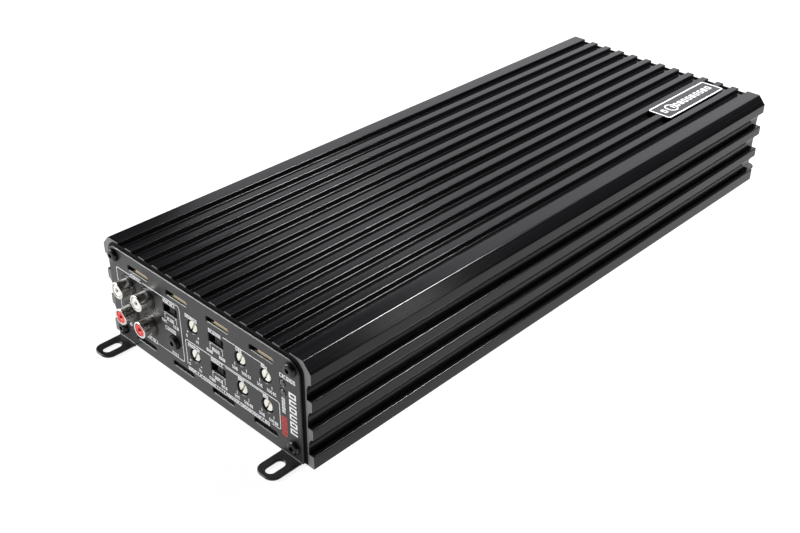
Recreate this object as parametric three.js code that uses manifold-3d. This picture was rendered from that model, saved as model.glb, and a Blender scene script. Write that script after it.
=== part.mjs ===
// Car amplifier: a ribbed aluminium case closed by two steel end panels with slotted feet.
// Units are millimetres. X is the width, +Y runs from the control panel to the terminal panel
// and +Z is up. The origin is on the surface that the feet stand on, under the middle of the case.
import * as THREE from 'three';
import { mergeVertices } from 'three/addons/utils/BufferGeometryUtils.js';
import Module from 'manifold-3d';

const wasm = await Module();
wasm.setup();

// Case extrusion
const CASE_LENGTH = 355;
const CASE_HEIGHT = 53.3;
const CASE_BOTTOM = 0.1;
const CASE_HALF_WIDTH = 70;
const CASE_TOP = CASE_BOTTOM + CASE_HEIGHT;
const CASE_END = CASE_LENGTH / 2;
const TOP_CHANNEL_COUNT = 12;
const TOP_CHANNEL_PITCH = 10;
const TOP_CHANNEL_WIDTH = 5.5;
const TOP_CHANNEL_DEPTH = 2.8;
const CORNER_CHAMFER_WIDTH = 4.3;
const CORNER_CHAMFER_HEIGHT = 4.8;
const CORNER_FACE_HEIGHT = 9.9;
const SIDE_FIN_TOP = 18.4;
const SIDE_FIN_PITCH = 14.2;
const SIDE_FIN_COUNT = 2;
const SIDE_FIN_FACE = 5.2;
const SIDE_FIN_SLOPE = 3.3;
const SIDE_FIN_DEPTH = 2.9;
const ROOF_THICKNESS = 4;
const WALL_INNER_X = 64.3;
const BOSS_INNER_X = 55.8;
const BOSS_UPPER_DEPTH = 10.5;
const BOSS_LOWER_DEPTH = 42.1;
const COVER_POCKET_X = 64.6;
const COVER_POCKET_HEIGHT = 1.8;
const COVER_THICKNESS = 1.5;

// Clearance between pieces that touch on the real object
const GAP = 0.3;

// End panels, their screws and their feet
const PANEL_THICKNESS = 1.2;
const PANEL_HALF_WIDTH = 65;
const PANEL_TOP = 51.45;
const PANEL_BOTTOM = 0.5;
const PANEL_CORNER_RADIUS = 6;
const PANEL_INNER_Y = CASE_END + GAP;
const PANEL_OUTER_Y = PANEL_INNER_Y + PANEL_THICKNESS;
const SCREW_X = 60;
const SCREW_Z = [47.1, 7.1];
const SCREW_HEAD_RADIUS = 3.3;
const SCREW_HEAD_HEIGHT = 2;
const SCREW_SHANK_RADIUS = 1.7;
const SCREW_LENGTH = 12;
const SCREW_HOLE_RADIUS = SCREW_SHANK_RADIUS + GAP;
const FOOT_X = 58;
const FOOT_WIDTH = 12;
const FOOT_REACH = 16;
const FOOT_CORNER_RADIUS = 4.5;
const FOOT_SLOT_WIDTH = 4.6;
const FOOT_SLOT_LENGTH = 9.5;
const FOOT_SLOT_REACH = 9;
const VENT_X = [-42, -14, 14, 42];
const VENT_Z = [45.1, 7.1];
const VENT_LENGTH = 15;
const VENT_HEIGHT = 2.4;

// Control panel
const FRONT_Y = -PANEL_OUTER_Y;
const BEHIND_FRONT_Y = -PANEL_INNER_Y + GAP;
const JACK_X = [-51, -36.5];
const JACK_Z = [34.5, 20.1];
const JACK_SHELL_RADIUS = 4.15;
const JACK_WALL = 1.1;
const JACK_REACH = 6.5;
const JACK_COLLAR_RADIUS = 4.95;
const JACK_BLOCK_DEPTH = 12;
const JACK_BLOCK_MARGIN = 7;
const POT_X = { gain: -4, high_pass: 28, low_pass: 44 };
const CHANNEL_POT_Z = { front: 35, rear: 19.6 };
const POT_SHAFT_RADIUS = 2.7;
const POT_HOLE_RADIUS = 3.5;
const POT_RECESS = 0.5;
const POT_BODY_SIZE = [9.5, 7, 11];
const POT_SLOT_WIDTH = 0.9;
const POT_SLOT_DEPTH = 1.2;
const POT_SLOT_ANGLE = THREE.MathUtils.degToRad(62);
const SWITCHES = [
  ['input', -19.8, 35.7],
  ['front_filter', 12, 35.7],
  ['rear_filter', 12, 20.4],
];
const SWITCH_WINDOW = [9.8, 4.6];
const SWITCH_BODY_SIZE = [14, 6, 7.4];
const SWITCH_SLIDER_SIZE = [3.6, 3.5, 3.6];
const SWITCH_RECESS = 1.2;
const SWITCH_TRAVEL = 6;
const REMOTE_JACK_X = -18.5;
const REMOTE_JACK_Z = 19.6;
const REMOTE_JACK_RADIUS = 3.2;
const REMOTE_JACK_REACH = 2;
const LED_X = 54.6;
const LED_Z = { alarm: 37.5, power: 32.8 };
const LED_RADIUS = 1.5;

// Terminal panel
const BLOCK_X = [-6, 56];
const BLOCK_Z = [13, 37];
const BLOCK_INNER_Y = 165;
const BLOCK_OUTER_Y = PANEL_OUTER_Y + 10;
const CABLE_X = { ground: 49, remote: 36, battery: 23 };
const CABLE_Z = 20;
const CABLE_RADIUS = 4;
const CABLE_DEPTH = 20;
const CLAMP_SCREW_Y = BLOCK_OUTER_Y - 6;
const CLAMP_SCREW_RADIUS = 2.8;
const CLAMP_SCREW_Z = [25.5, 36.4];
const FUSE_X = [1.5, 11];
const FUSE_Z = 25;
const FUSE_SIZE = [5.2, 12.2, 19.2];
const FUSE_RECESS = 7;
const FUSE_BLADE = [0.8, 8, 5.2];
const FUSE_BLADE_OFFSET = 6;
const SPEAKER_X = -35;
const SPEAKER_Z = 25;
const SPEAKER_PLUG = [41, 22, 11];
const SPEAKER_SOCKET_WALL = 1.4;
const SPEAKER_SOCKET_DEPTH = 14;
const SPEAKER_WAYS = 8;
const SPEAKER_PITCH = 5;
const SPEAKER_WIRE_RADIUS = 1.5;

// Badge set into the tops of the ribs
const BADGE_CENTRE = [39.1, 141.4];
const BADGE_SIZE = [14.8, 58];
const BADGE_RADIUS = 2;
const BADGE_THICKNESS = 0.7;
const BADGE_PROUD = 0.2;

// Boards and what they carry
const BOARD_THICKNESS = 1.6;
const MAIN_BOARD_Z = CASE_TOP - BOSS_LOWER_DEPTH + GAP;
const MAIN_BOARD_SIZE = [127.4, 318];
const ON_BOARD_Z = MAIN_BOARD_Z + BOARD_THICKNESS + GAP;
const CAPACITOR_SPOTS = [[24, 60], [46, 60]];
const CAPACITOR_RADIUS = 9;
const CAPACITOR_HEIGHT = 28;
const TRANSFORMER_SPOT = [-18, 70];
const CHOKE_SPOT = [-20, -60];
const CLAMP_BAR_LENGTH = 220;

const amplifier = new THREE.Group();

function finish(color, roughness, metalness) {
  return new THREE.MeshStandardMaterial({ color, roughness, metalness });
}

const BLACK_ANODISED = [0x3a3a3c, 0.42, 0.75];
const PANEL_COATING = [0x555658, 0.5, 0.55];
const BLACK_SCREW = [0x161618, 0.3, 0.8];
const BLACK_PLASTIC = [0x1a1b1d, 0.45, 0];
const NICKEL = [0xc4c2ba, 0.18, 1];
const WHITE_PLASTIC = [0xf2f1ec, 0.4, 0];
const RED_PLASTIC = [0xd42a20, 0.38, 0];
const BOARD_GREEN = [0x1f5a38, 0.55, 0];

function add(name, geometry, [color, roughness, metalness]) {
  const mesh = new THREE.Mesh(geometry, finish(color, roughness, metalness));
  mesh.name = name;
  amplifier.add(mesh);
  return mesh;
}

// Outlines, as lists of points
function arc(x, y, radius, start, end, steps) {
  const points = [];
  for (let i = 0; i <= steps; i += 1) {
    const angle = start + ((end - start) * i) / steps;
    points.push(new THREE.Vector2(x + radius * Math.cos(angle), y + radius * Math.sin(angle)));
  }
  return points;
}

function circle(x, y, radius, steps = 20) {
  return arc(x, y, radius, 0, 2 * Math.PI, steps).slice(0, -1);
}

function rectangle(x, y, width, height) {
  const [dx, dy] = [width / 2, height / 2];
  return [[-dx, -dy], [dx, -dy], [dx, dy], [-dx, dy]].map(([u, v]) => new THREE.Vector2(x + u, y + v));
}

function roundedRectangle(x, y, width, height, radius, steps = 4) {
  const [dx, dy] = [width / 2 - radius, height / 2 - radius];
  const corners = [[dx, dy], [-dx, dy], [-dx, -dy], [dx, -dy]];
  return corners.flatMap(([u, v], quarter) => {
    const start = (quarter * Math.PI) / 2;
    return arc(x + u, y + v, radius, start, start + Math.PI / 2, steps);
  });
}

function withoutRepeats(points) {
  return points.filter((point, i) => point.distanceTo(points[(i + 1) % points.length]) > 1e-6);
}

// Geometry in place
function extrude(outline, holes, depth) {
  const shape = new THREE.Shape(withoutRepeats(outline));
  shape.holes = holes.map((hole) => new THREE.Path(withoutRepeats(hole)));
  return new THREE.ExtrudeGeometry(shape, { depth, bevelEnabled: false });
}

// The outline's two coordinates are X and Z, and it runs from y0 to y1.
function alongY(outline, holes, y0, y1) {
  return extrude(outline, holes, y1 - y0).rotateX(Math.PI / 2).translate(0, y1, 0);
}

function alongZ(outline, holes, z0, z1) {
  return extrude(outline, holes, z1 - z0).translate(0, 0, z0);
}

function rodY(x, z, radius, y0, y1, steps = 20) {
  return new THREE.CylinderGeometry(radius, radius, y1 - y0, steps).translate(x, (y0 + y1) / 2, z);
}

function rodZ(x, y, radius, z0, z1, steps = 20) {
  const rod = new THREE.CylinderGeometry(radius, radius, z1 - z0, steps).rotateX(Math.PI / 2);
  return rod.translate(x, y, (z0 + z1) / 2);
}

function block([x0, x1], [y0, y1], [z0, z1]) {
  const box = new THREE.BoxGeometry(x1 - x0, y1 - y0, z1 - z0);
  return box.translate((x0 + x1) / 2, (y0 + y1) / 2, (z0 + z1) / 2);
}

function span(centre, size) {
  return [centre - size / 2, centre + size / 2];
}

function spin(profile, steps = 20) {
  return new THREE.LatheGeometry(profile.map(([radius, y]) => new THREE.Vector2(radius, y)), steps);
}

// Solids for cutting and joining
function solid(geometry) {
  const bare = geometry.clone();
  bare.deleteAttribute('normal');
  bare.deleteAttribute('uv');
  const merged = mergeVertices(bare, 1e-4);
  const triangles = [];
  for (let i = 0; i < merged.index.count; i += 3) {
    const [a, b, c] = [0, 1, 2].map((k) => merged.index.getX(i + k));
    if (a !== b && b !== c && c !== a) triangles.push(a, b, c);
  }
  return new wasm.Manifold(new wasm.Mesh({
    numProp: 3,
    vertProperties: new Float32Array(merged.attributes.position.array),
    triVerts: new Uint32Array(triangles),
  }));
}

function surface(body) {
  const mesh = body.getMesh();
  const geometry = new THREE.BufferGeometry();
  geometry.setAttribute('position', new THREE.BufferAttribute(mesh.vertProperties, 3));
  geometry.setIndex(new THREE.BufferAttribute(mesh.triVerts, 1));
  geometry.computeVertexNormals();
  return geometry;
}

function cut(geometry, ...tools) {
  return surface(tools.reduce((body, tool) => body.subtract(solid(tool)), solid(geometry)));
}

function join(geometry, ...others) {
  return surface(others.reduce((body, other) => body.add(solid(other)), solid(geometry)));
}

// Case: an upside-down U with ribs on its top and sides and a screw channel in each corner
function caseRightSide() {
  const outer = CASE_HALF_WIDTH;
  const floor = outer - SIDE_FIN_DEPTH;
  const points = [
    [outer - CORNER_CHAMFER_WIDTH, 0],
    [outer, CORNER_CHAMFER_HEIGHT],
    [outer, CORNER_FACE_HEIGHT],
    [floor, CORNER_FACE_HEIGHT + SIDE_FIN_SLOPE],
  ];
  for (let i = 0; i < SIDE_FIN_COUNT; i += 1) {
    const top = SIDE_FIN_TOP + i * SIDE_FIN_PITCH;
    points.push([floor, top], [outer, top], [outer, top + SIDE_FIN_FACE]);
    points.push([floor, top + SIDE_FIN_FACE + SIDE_FIN_SLOPE]);
  }
  const base = SIDE_FIN_TOP + SIDE_FIN_COUNT * SIDE_FIN_PITCH;
  points.push([floor, base], [outer, base], [outer, CASE_HEIGHT]);
  points.push([COVER_POCKET_X, CASE_HEIGHT], [COVER_POCKET_X, CASE_HEIGHT - COVER_POCKET_HEIGHT]);
  points.push([BOSS_INNER_X, CASE_HEIGHT - COVER_POCKET_HEIGHT], [BOSS_INNER_X, BOSS_LOWER_DEPTH]);
  points.push([WALL_INNER_X, BOSS_LOWER_DEPTH], [WALL_INNER_X, BOSS_UPPER_DEPTH]);
  points.push([BOSS_INNER_X, BOSS_UPPER_DEPTH], [BOSS_INNER_X, TOP_CHANNEL_DEPTH + ROOF_THICKNESS]);
  return points;
}

function caseTopChannels() {
  const points = [];
  for (let i = 0; i < TOP_CHANNEL_COUNT; i += 1) {
    const centre = (i - (TOP_CHANNEL_COUNT - 1) / 2) * TOP_CHANNEL_PITCH;
    const [left, right] = span(centre, TOP_CHANNEL_WIDTH);
    points.push([left, 0], [left, TOP_CHANNEL_DEPTH], [right, TOP_CHANNEL_DEPTH], [right, 0]);
  }
  return points;
}

function makeCase() {
  const right = caseRightSide();
  const left = right.map(([x, depth]) => [-x, depth]).reverse();
  const outline = [...caseTopChannels(), ...right, ...left];
  const points = outline.map(([x, depth]) => new THREE.Vector2(x, CASE_TOP - depth));
  const screwChannels = SCREW_Z.flatMap((z) => [-SCREW_X, SCREW_X].map((x) => (
    circle(x, z, SCREW_HOLE_RADIUS, 12)
  )));
  const extrusion = alongY(points, screwChannels, -CASE_END, CASE_END);
  const pocketFloor = CASE_TOP + BADGE_PROUD - BADGE_THICKNESS - GAP;
  const [width, length] = BADGE_SIZE.map((size) => size + 2 * GAP);
  const pocketOutline = roundedRectangle(...BADGE_CENTRE, width, length, BADGE_RADIUS + GAP);
  return cut(extrusion, alongZ(pocketOutline, [], pocketFloor, CASE_TOP + 1));
}

function makeBottomCover() {
  const halfWidth = COVER_POCKET_X - GAP;
  const top = CASE_BOTTOM + COVER_THICKNESS;
  return block([-halfWidth, halfWidth], [-CASE_END, CASE_END], [CASE_BOTTOM, top]);
}

// End panels, drawn as the control panel's side and turned round for the terminal panel
function panelOutline() {
  const width = 2 * PANEL_HALF_WIDTH;
  const middle = (PANEL_TOP + PANEL_BOTTOM) / 2;
  const rounded = roundedRectangle(0, middle, width, PANEL_TOP - PANEL_BOTTOM, PANEL_CORNER_RADIUS, 6);
  const upper = rounded.filter((point) => point.y > middle);
  const lower = [[-PANEL_HALF_WIDTH, PANEL_BOTTOM], [PANEL_HALF_WIDTH, PANEL_BOTTOM]];
  return [...upper, ...lower.map(([x, z]) => new THREE.Vector2(x, z))];
}

function makeFoot(x) {
  const tip = FRONT_Y - FOOT_REACH;
  const back = -PANEL_INNER_Y;
  const outline = roundedRectangle(x, (tip + back) / 2, FOOT_WIDTH, back - tip, FOOT_CORNER_RADIUS);
  const front = outline.filter((point) => point.y < (tip + back) / 2);
  const [left, right] = span(x, FOOT_WIDTH);
  const foot = [...front, new THREE.Vector2(right, back), new THREE.Vector2(left, back)];
  const slotY = FRONT_Y - FOOT_SLOT_REACH;
  const slotRadius = FOOT_SLOT_WIDTH / 2 - 1e-3;
  const slot = roundedRectangle(x, slotY, FOOT_SLOT_WIDTH, FOOT_SLOT_LENGTH, slotRadius);
  return alongZ(foot, [slot], 0, PANEL_THICKNESS);
}

function makeEndPanel(extraHoles) {
  const ventRadius = VENT_HEIGHT / 2 - 1e-3;
  const vents = VENT_Z.flatMap((z) => VENT_X.map((x) => (
    roundedRectangle(x, z, VENT_LENGTH, VENT_HEIGHT, ventRadius, 3)
  )));
  const screwHoles = SCREW_Z.flatMap((z) => [-SCREW_X, SCREW_X].map((x) => (
    circle(x, z, SCREW_HOLE_RADIUS, 12)
  )));
  const holes = [...vents, ...screwHoles, ...extraHoles];
  const sheet = alongY(panelOutline(), holes, FRONT_Y, -PANEL_INNER_Y);
  const feet = [-FOOT_X, FOOT_X].flatMap((x) => [
    makeFoot(x),
    block(span(x, FOOT_WIDTH), [FRONT_Y, -PANEL_INNER_Y], [0, PANEL_THICKNESS]),
  ]);
  return join(sheet, ...feet);
}

function makePanelScrew() {
  const head = SCREW_HEAD_RADIUS;
  const outer = -SCREW_HEAD_HEIGHT;
  const screw = spin([
    [0, outer],
    [head * 0.6, outer],
    [head * 0.88, outer * 0.75],
    [head, outer * 0.3],
    [head, -0.1],
    [SCREW_SHANK_RADIUS, -0.1],
    [SCREW_SHANK_RADIUS, SCREW_LENGTH - 1],
    [0, SCREW_LENGTH],
  ], 16);
  return cut(screw, rodY(0, 0, 1.45, outer - 1, outer + 1.3, 6));
}

function addPanelScrews() {
  const ends = [['front', -1], ['rear', 1]];
  for (const [end, side] of ends) {
    SCREW_Z.forEach((z, row) => {
      for (const [flank, x] of [['left', -SCREW_X], ['right', SCREW_X]]) {
        const level = row === 0 ? 'upper' : 'lower';
        const screw = add(`${end}_panel_screw_${level}_${flank}`, makePanelScrew(), BLACK_SCREW);
        screw.position.set(x, side * PANEL_OUTER_Y, z);
        screw.rotation.z = side > 0 ? Math.PI : 0;
      }
    });
  }
}

// Control panel's pieces
function jackSpots() {
  const channels = [['front', JACK_X[0]], ['rear', JACK_X[1]]];
  return channels.flatMap(([channel, x]) => [
    [`${channel}_left`, x, JACK_Z[0], WHITE_PLASTIC],
    [`${channel}_right`, x, JACK_Z[1], RED_PLASTIC],
  ]);
}

function addInputJacks() {
  const back = BEHIND_FRONT_Y + JACK_BLOCK_DEPTH;
  const face = FRONT_Y - JACK_REACH;
  const boreRadius = JACK_SHELL_RADIUS + GAP;
  let housing = block(
    [JACK_X[0] - JACK_BLOCK_MARGIN, JACK_X[1] + JACK_BLOCK_MARGIN],
    [BEHIND_FRONT_Y, back],
    [JACK_Z[1] - JACK_BLOCK_MARGIN, JACK_Z[0] + JACK_BLOCK_MARGIN],
  );
  for (const [name, x, z, colour] of jackSpots()) {
    housing = join(housing, rodY(x, z, JACK_COLLAR_RADIUS, FRONT_Y, BEHIND_FRONT_Y + 1));
    housing = cut(housing, rodY(x, z, boreRadius, FRONT_Y - 1, back + 1));
    const shell = cut(
      rodY(x, z, JACK_SHELL_RADIUS, face, back - 1),
      rodY(x, z, JACK_SHELL_RADIUS - JACK_WALL, face - 1, back),
    );
    const insertRadius = JACK_SHELL_RADIUS - JACK_WALL - GAP;
    const insert = cut(
      rodY(x, z, insertRadius, face + 0.3, back - 1),
      rodY(x, z, 1.6, face - 1, face + 9, 12),
    );
    add(`${name}_jack_shell`, shell, NICKEL);
    add(`${name}_jack_insert`, insert, colour);
  }
  add('jack_housing', housing, BLACK_PLASTIC);
}

function addPotentiometers() {
  const [width, depth, height] = POT_BODY_SIZE;
  const shaftFace = FRONT_Y + POT_RECESS;
  const shaftEnd = BEHIND_FRONT_Y + depth - 1.5;
  for (const [channel, z] of Object.entries(CHANNEL_POT_Z)) {
    for (const [use, x] of Object.entries(POT_X)) {
      const body = cut(
        block(span(x, width), [BEHIND_FRONT_Y, BEHIND_FRONT_Y + depth], span(z, height)),
        rodY(x, z, POT_SHAFT_RADIUS + GAP, BEHIND_FRONT_Y - 1, shaftEnd + GAP),
      );
      const slot = block([-2 * POT_SHAFT_RADIUS, 2 * POT_SHAFT_RADIUS],
        [shaftFace - 1, shaftFace + POT_SLOT_DEPTH], span(0, POT_SLOT_WIDTH));
      slot.rotateY(-POT_SLOT_ANGLE).translate(x, 0, z);
      const shaft = cut(rodY(x, z, POT_SHAFT_RADIUS, shaftFace, shaftEnd), slot);
      add(`${channel}_${use}_pot_body`, body, BLACK_PLASTIC);
      add(`${channel}_${use}_pot_shaft`, shaft, WHITE_PLASTIC);
    }
  }
}

function addSlideSwitches() {
  const [bodyWidth, bodyDepth, bodyHeight] = SWITCH_BODY_SIZE;
  const [sliderWidth, sliderDepth, sliderHeight] = SWITCH_SLIDER_SIZE;
  const sliderFace = FRONT_Y + SWITCH_RECESS;
  for (const [name, x, z] of SWITCHES) {
    const slotWidth = sliderWidth + SWITCH_TRAVEL + 2 * GAP;
    const body = cut(
      block(span(x, bodyWidth), [BEHIND_FRONT_Y, BEHIND_FRONT_Y + bodyDepth], span(z, bodyHeight)),
      block(span(x, slotWidth), [BEHIND_FRONT_Y - 1, sliderFace + sliderDepth + GAP],
        span(z, sliderHeight + 2 * GAP)),
    );
    const slider = block(span(x, sliderWidth),
      [sliderFace, sliderFace + sliderDepth], span(z, sliderHeight));
    add(`${name}_switch_body`, body, BLACK_PLASTIC);
    add(`${name}_switch_slider`, slider, BLACK_PLASTIC);
  }
}

function makeRemoteJack() {
  const [x, z] = [REMOTE_JACK_X, REMOTE_JACK_Z];
  const body = block(span(x, 9), [BEHIND_FRONT_Y, BEHIND_FRONT_Y + 11], span(z, 9));
  const face = FRONT_Y - REMOTE_JACK_REACH;
  const bushing = rodY(x, z, REMOTE_JACK_RADIUS, face, BEHIND_FRONT_Y + 1);
  return cut(join(body, bushing), rodY(x, z, 1.8, face - 1, BEHIND_FRONT_Y + 9, 16));
}

function makeLed(x, z) {
  const lens = spin([
    [0, FRONT_Y - 0.6],
    [LED_RADIUS * 0.7, FRONT_Y - 0.35],
    [LED_RADIUS, FRONT_Y + 0.4],
    [LED_RADIUS, BEHIND_FRONT_Y + 3],
    [0, BEHIND_FRONT_Y + 3],
  ], 16);
  return lens.translate(x, 0, z);
}

function makeControlPanel() {
  const jackHoles = jackSpots().map(([, x, z]) => circle(x, z, JACK_COLLAR_RADIUS + GAP));
  const potHoles = Object.values(CHANNEL_POT_Z).flatMap((z) => (
    Object.values(POT_X).map((x) => circle(x, z, POT_HOLE_RADIUS))
  ));
  const switchWindows = SWITCHES.map(([, x, z]) => rectangle(x, z, ...SWITCH_WINDOW));
  const ledHoles = Object.values(LED_Z).map((z) => circle(LED_X, z, LED_RADIUS + GAP, 12));
  const remoteHole = circle(REMOTE_JACK_X, REMOTE_JACK_Z, REMOTE_JACK_RADIUS + GAP);
  return makeEndPanel([...jackHoles, ...potHoles, ...switchWindows, ...ledHoles, remoteHole]);
}

// A strip of card that stands behind the upper vents, with a tab in each of them
function makeInsulatingCard() {
  const [bottom, shoulder, top] = [42, 43.2, 46.2];
  const tabLeft = -3.7;
  const tabWidth = 10;
  const outline = [[54, bottom], [54, shoulder]];
  for (const x of [...VENT_X].reverse()) {
    const [left, right] = [x + tabLeft, x + tabLeft + tabWidth];
    outline.push([right, shoulder], [right, top], [left, top], [left, shoulder]);
  }
  outline.push([-54, shoulder], [-54, bottom]);
  const points = outline.map(([x, z]) => new THREE.Vector2(x, z));
  return alongY(points, [], BEHIND_FRONT_Y, BEHIND_FRONT_Y + 0.6);
}

// Terminal panel's pieces
function makePowerBlock() {
  const [fuseWidth, , fuseHeight] = FUSE_SIZE;
  const [bladeWidth, bladeLength, bladeHeight] = FUSE_BLADE;
  const seat = BLOCK_OUTER_Y - FUSE_RECESS - GAP;
  const tools = [];
  for (const x of Object.values(CABLE_X)) {
    tools.push(rodY(x, CABLE_Z, CABLE_RADIUS, BLOCK_OUTER_Y - CABLE_DEPTH, BLOCK_OUTER_Y + 1));
    tools.push(rodZ(x, CLAMP_SCREW_Y, CLAMP_SCREW_RADIUS + GAP, CABLE_Z, BLOCK_Z[1] + 1));
  }
  for (const x of FUSE_X) {
    const recess = [span(x, fuseWidth + 2 * GAP), [seat, BLOCK_OUTER_Y + 1]];
    tools.push(block(...recess, span(FUSE_Z, fuseHeight + 2 * GAP)));
    for (const side of [-1, 1]) {
      const bladeZ = FUSE_Z + side * FUSE_BLADE_OFFSET;
      tools.push(block(span(x, bladeWidth + 2 * GAP), [seat - bladeLength - GAP, seat + 1],
        span(bladeZ, bladeHeight + 2 * GAP)));
    }
  }
  return cut(block(BLOCK_X, [BLOCK_INNER_Y, BLOCK_OUTER_Y], BLOCK_Z), ...tools);
}

function makeClampScrew(x) {
  const [bottom, top] = CLAMP_SCREW_Z;
  const shank = rodZ(x, CLAMP_SCREW_Y, CLAMP_SCREW_RADIUS, bottom, top, 16);
  return cut(shank, rodZ(x, CLAMP_SCREW_Y, 1.5, top - 3, top + 1, 6));
}

function makeFuse(x) {
  const [width, length, height] = FUSE_SIZE;
  const [bladeWidth, bladeLength, bladeHeight] = FUSE_BLADE;
  const seat = BLOCK_OUTER_Y - FUSE_RECESS;
  const blades = [-1, 1].map((side) => block(span(x, bladeWidth), [seat - bladeLength, seat + 1],
    span(FUSE_Z + side * FUSE_BLADE_OFFSET, bladeHeight)));
  return join(block(span(x, width), [seat, seat + length], span(FUSE_Z, height)), ...blades);
}

function addSpeakerTerminals() {
  const [width, length, height] = SPEAKER_PLUG;
  const plugInner = PANEL_OUTER_Y - SPEAKER_SOCKET_DEPTH + 4;
  const socketInner = plugInner - SPEAKER_SOCKET_WALL - GAP;
  const wall = 2 * (SPEAKER_SOCKET_WALL + GAP);
  const socket = cut(
    block(span(SPEAKER_X, width + wall), [socketInner, PANEL_OUTER_Y], span(SPEAKER_Z, height + wall)),
    block(span(SPEAKER_X, width + 2 * GAP), [plugInner - GAP, PANEL_OUTER_Y + 1],
      span(SPEAKER_Z, height + 2 * GAP)),
  );
  const wireHoles = [];
  for (let i = 0; i < SPEAKER_WAYS; i += 1) {
    const x = SPEAKER_X + (i - (SPEAKER_WAYS - 1) / 2) * SPEAKER_PITCH;
    const plugOuter = plugInner + length;
    wireHoles.push(rodY(x, SPEAKER_Z - 1, SPEAKER_WIRE_RADIUS, plugOuter - 8, plugOuter + 1, 10));
  }
  const plugBody = block(span(SPEAKER_X, width), [plugInner, plugInner + length], span(SPEAKER_Z, height));
  add('speaker_socket', socket, BLACK_PLASTIC);
  add('speaker_plug', cut(plugBody, ...wireHoles), [0x2f7d45, 0.45, 0]);
}

function makeTerminalPanel() {
  const blockWidth = BLOCK_X[1] - BLOCK_X[0] + 2 * GAP;
  const blockHeight = BLOCK_Z[1] - BLOCK_Z[0] + 2 * GAP;
  const [plugWidth, , plugHeight] = SPEAKER_PLUG;
  const wall = 2 * (SPEAKER_SOCKET_WALL + 2 * GAP);
  const blockX = (BLOCK_X[0] + BLOCK_X[1]) / 2;
  const blockZ = (BLOCK_Z[0] + BLOCK_Z[1]) / 2;
  // The panel is drawn facing -Y and then turned half round, so its openings are drawn at -X.
  const openings = [
    rectangle(-blockX, blockZ, blockWidth, blockHeight),
    rectangle(-SPEAKER_X, SPEAKER_Z, plugWidth + wall, plugHeight + wall),
  ];
  return makeEndPanel(openings);
}

// Boards and the parts inside the case
function makeRing(spot, innerRadius, outerRadius, height) {
  const corner = 3;
  const bottom = ON_BOARD_Z;
  const top = ON_BOARD_Z + height;
  const section = roundedRectangle((innerRadius + outerRadius) / 2, (bottom + top) / 2,
    outerRadius - innerRadius, height, corner, 2);
  const profile = [...section, section[0]].map((point) => [point.x, point.y]);
  return spin(profile, 24).rotateX(Math.PI / 2).translate(spot[0], spot[1], 0);
}

function addInnerParts() {
  const [boardWidth, boardLength] = MAIN_BOARD_SIZE;
  const board = block(span(0, boardWidth), span(0, boardLength),
    [MAIN_BOARD_Z, MAIN_BOARD_Z + BOARD_THICKNESS]);
  add('main_board', board, BOARD_GREEN);
  const controlBoardY = BEHIND_FRONT_Y + 12;
  const controlBoard = block([-27, 53], [controlBoardY, controlBoardY + BOARD_THICKNESS], [13.6, 42]);
  add('control_board', controlBoard, BOARD_GREEN);
  add('transformer', makeRing(TRANSFORMER_SPOT, 8, 24, 22), [0xb0642c, 0.4, 0.6]);
  add('output_choke', makeRing(CHOKE_SPOT, 6, 15, 12), [0xb0642c, 0.4, 0.6]);
  CAPACITOR_SPOTS.forEach(([x, y], i) => {
    const can = rodZ(x, y, CAPACITOR_RADIUS, ON_BOARD_Z, ON_BOARD_Z + CAPACITOR_HEIGHT, 24);
    add(`reservoir_capacitor_${i + 1}`, can, [0x1c2a55, 0.35, 0.1]);
  });
  for (const [flank, side] of [['left', -1], ['right', 1]]) {
    const outer = side * (WALL_INNER_X - 5);
    const inner = outer - side * 3;
    const bar = block([Math.min(inner, outer), Math.max(inner, outer)], span(0, CLAMP_BAR_LENGTH), [22, 34]);
    add(`transistor_clamp_${flank}`, bar, [0xb8babd, 0.35, 0.9]);
  }
}

add('heatsink_case', makeCase(), BLACK_ANODISED);
add('bottom_cover', makeBottomCover(), PANEL_COATING);
add('front_panel', makeControlPanel(), PANEL_COATING);
add('rear_panel', makeTerminalPanel().rotateZ(Math.PI), PANEL_COATING);
addPanelScrews();
addInputJacks();
addPotentiometers();
addSlideSwitches();
add('remote_level_jack', makeRemoteJack(), BLACK_PLASTIC);
for (const [name, z] of Object.entries(LED_Z)) {
  add(`${name}_led`, makeLed(LED_X, z), [0xb9bcc0, 0.2, 0]);
}
add('insulating_card', makeInsulatingCard(), [0xd8cfa6, 0.8, 0]);
add('power_block', makePowerBlock(), BLACK_PLASTIC);
for (const [name, x] of Object.entries(CABLE_X)) {
  add(`${name}_clamp_screw`, makeClampScrew(x), NICKEL);
}
FUSE_X.forEach((x, i) => add(`blade_fuse_${i + 1}`, makeFuse(x), [0xc08a1e, 0.3, 0]));
addSpeakerTerminals();
addInnerParts();
const badgeTop = CASE_TOP + BADGE_PROUD;
const badgeOutline = roundedRectangle(...BADGE_CENTRE, ...BADGE_SIZE, BADGE_RADIUS);
add('badge', alongZ(badgeOutline, [], badgeTop - BADGE_THICKNESS, badgeTop), PANEL_COATING);

export default amplifier;
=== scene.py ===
"""The looks of a ribbed car amplifier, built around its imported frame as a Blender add-on.

Every piece is in metres, in the frame's own place: X is the width, +Y runs from the control panel
to the terminal panel and +Z is up from the surface that the feet stand on.
"""

import math
import random

import bmesh
import bpy
from bpy.props import FloatProperty, FloatVectorProperty, IntProperty, PointerProperty
from mathutils import Matrix, Vector


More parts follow.
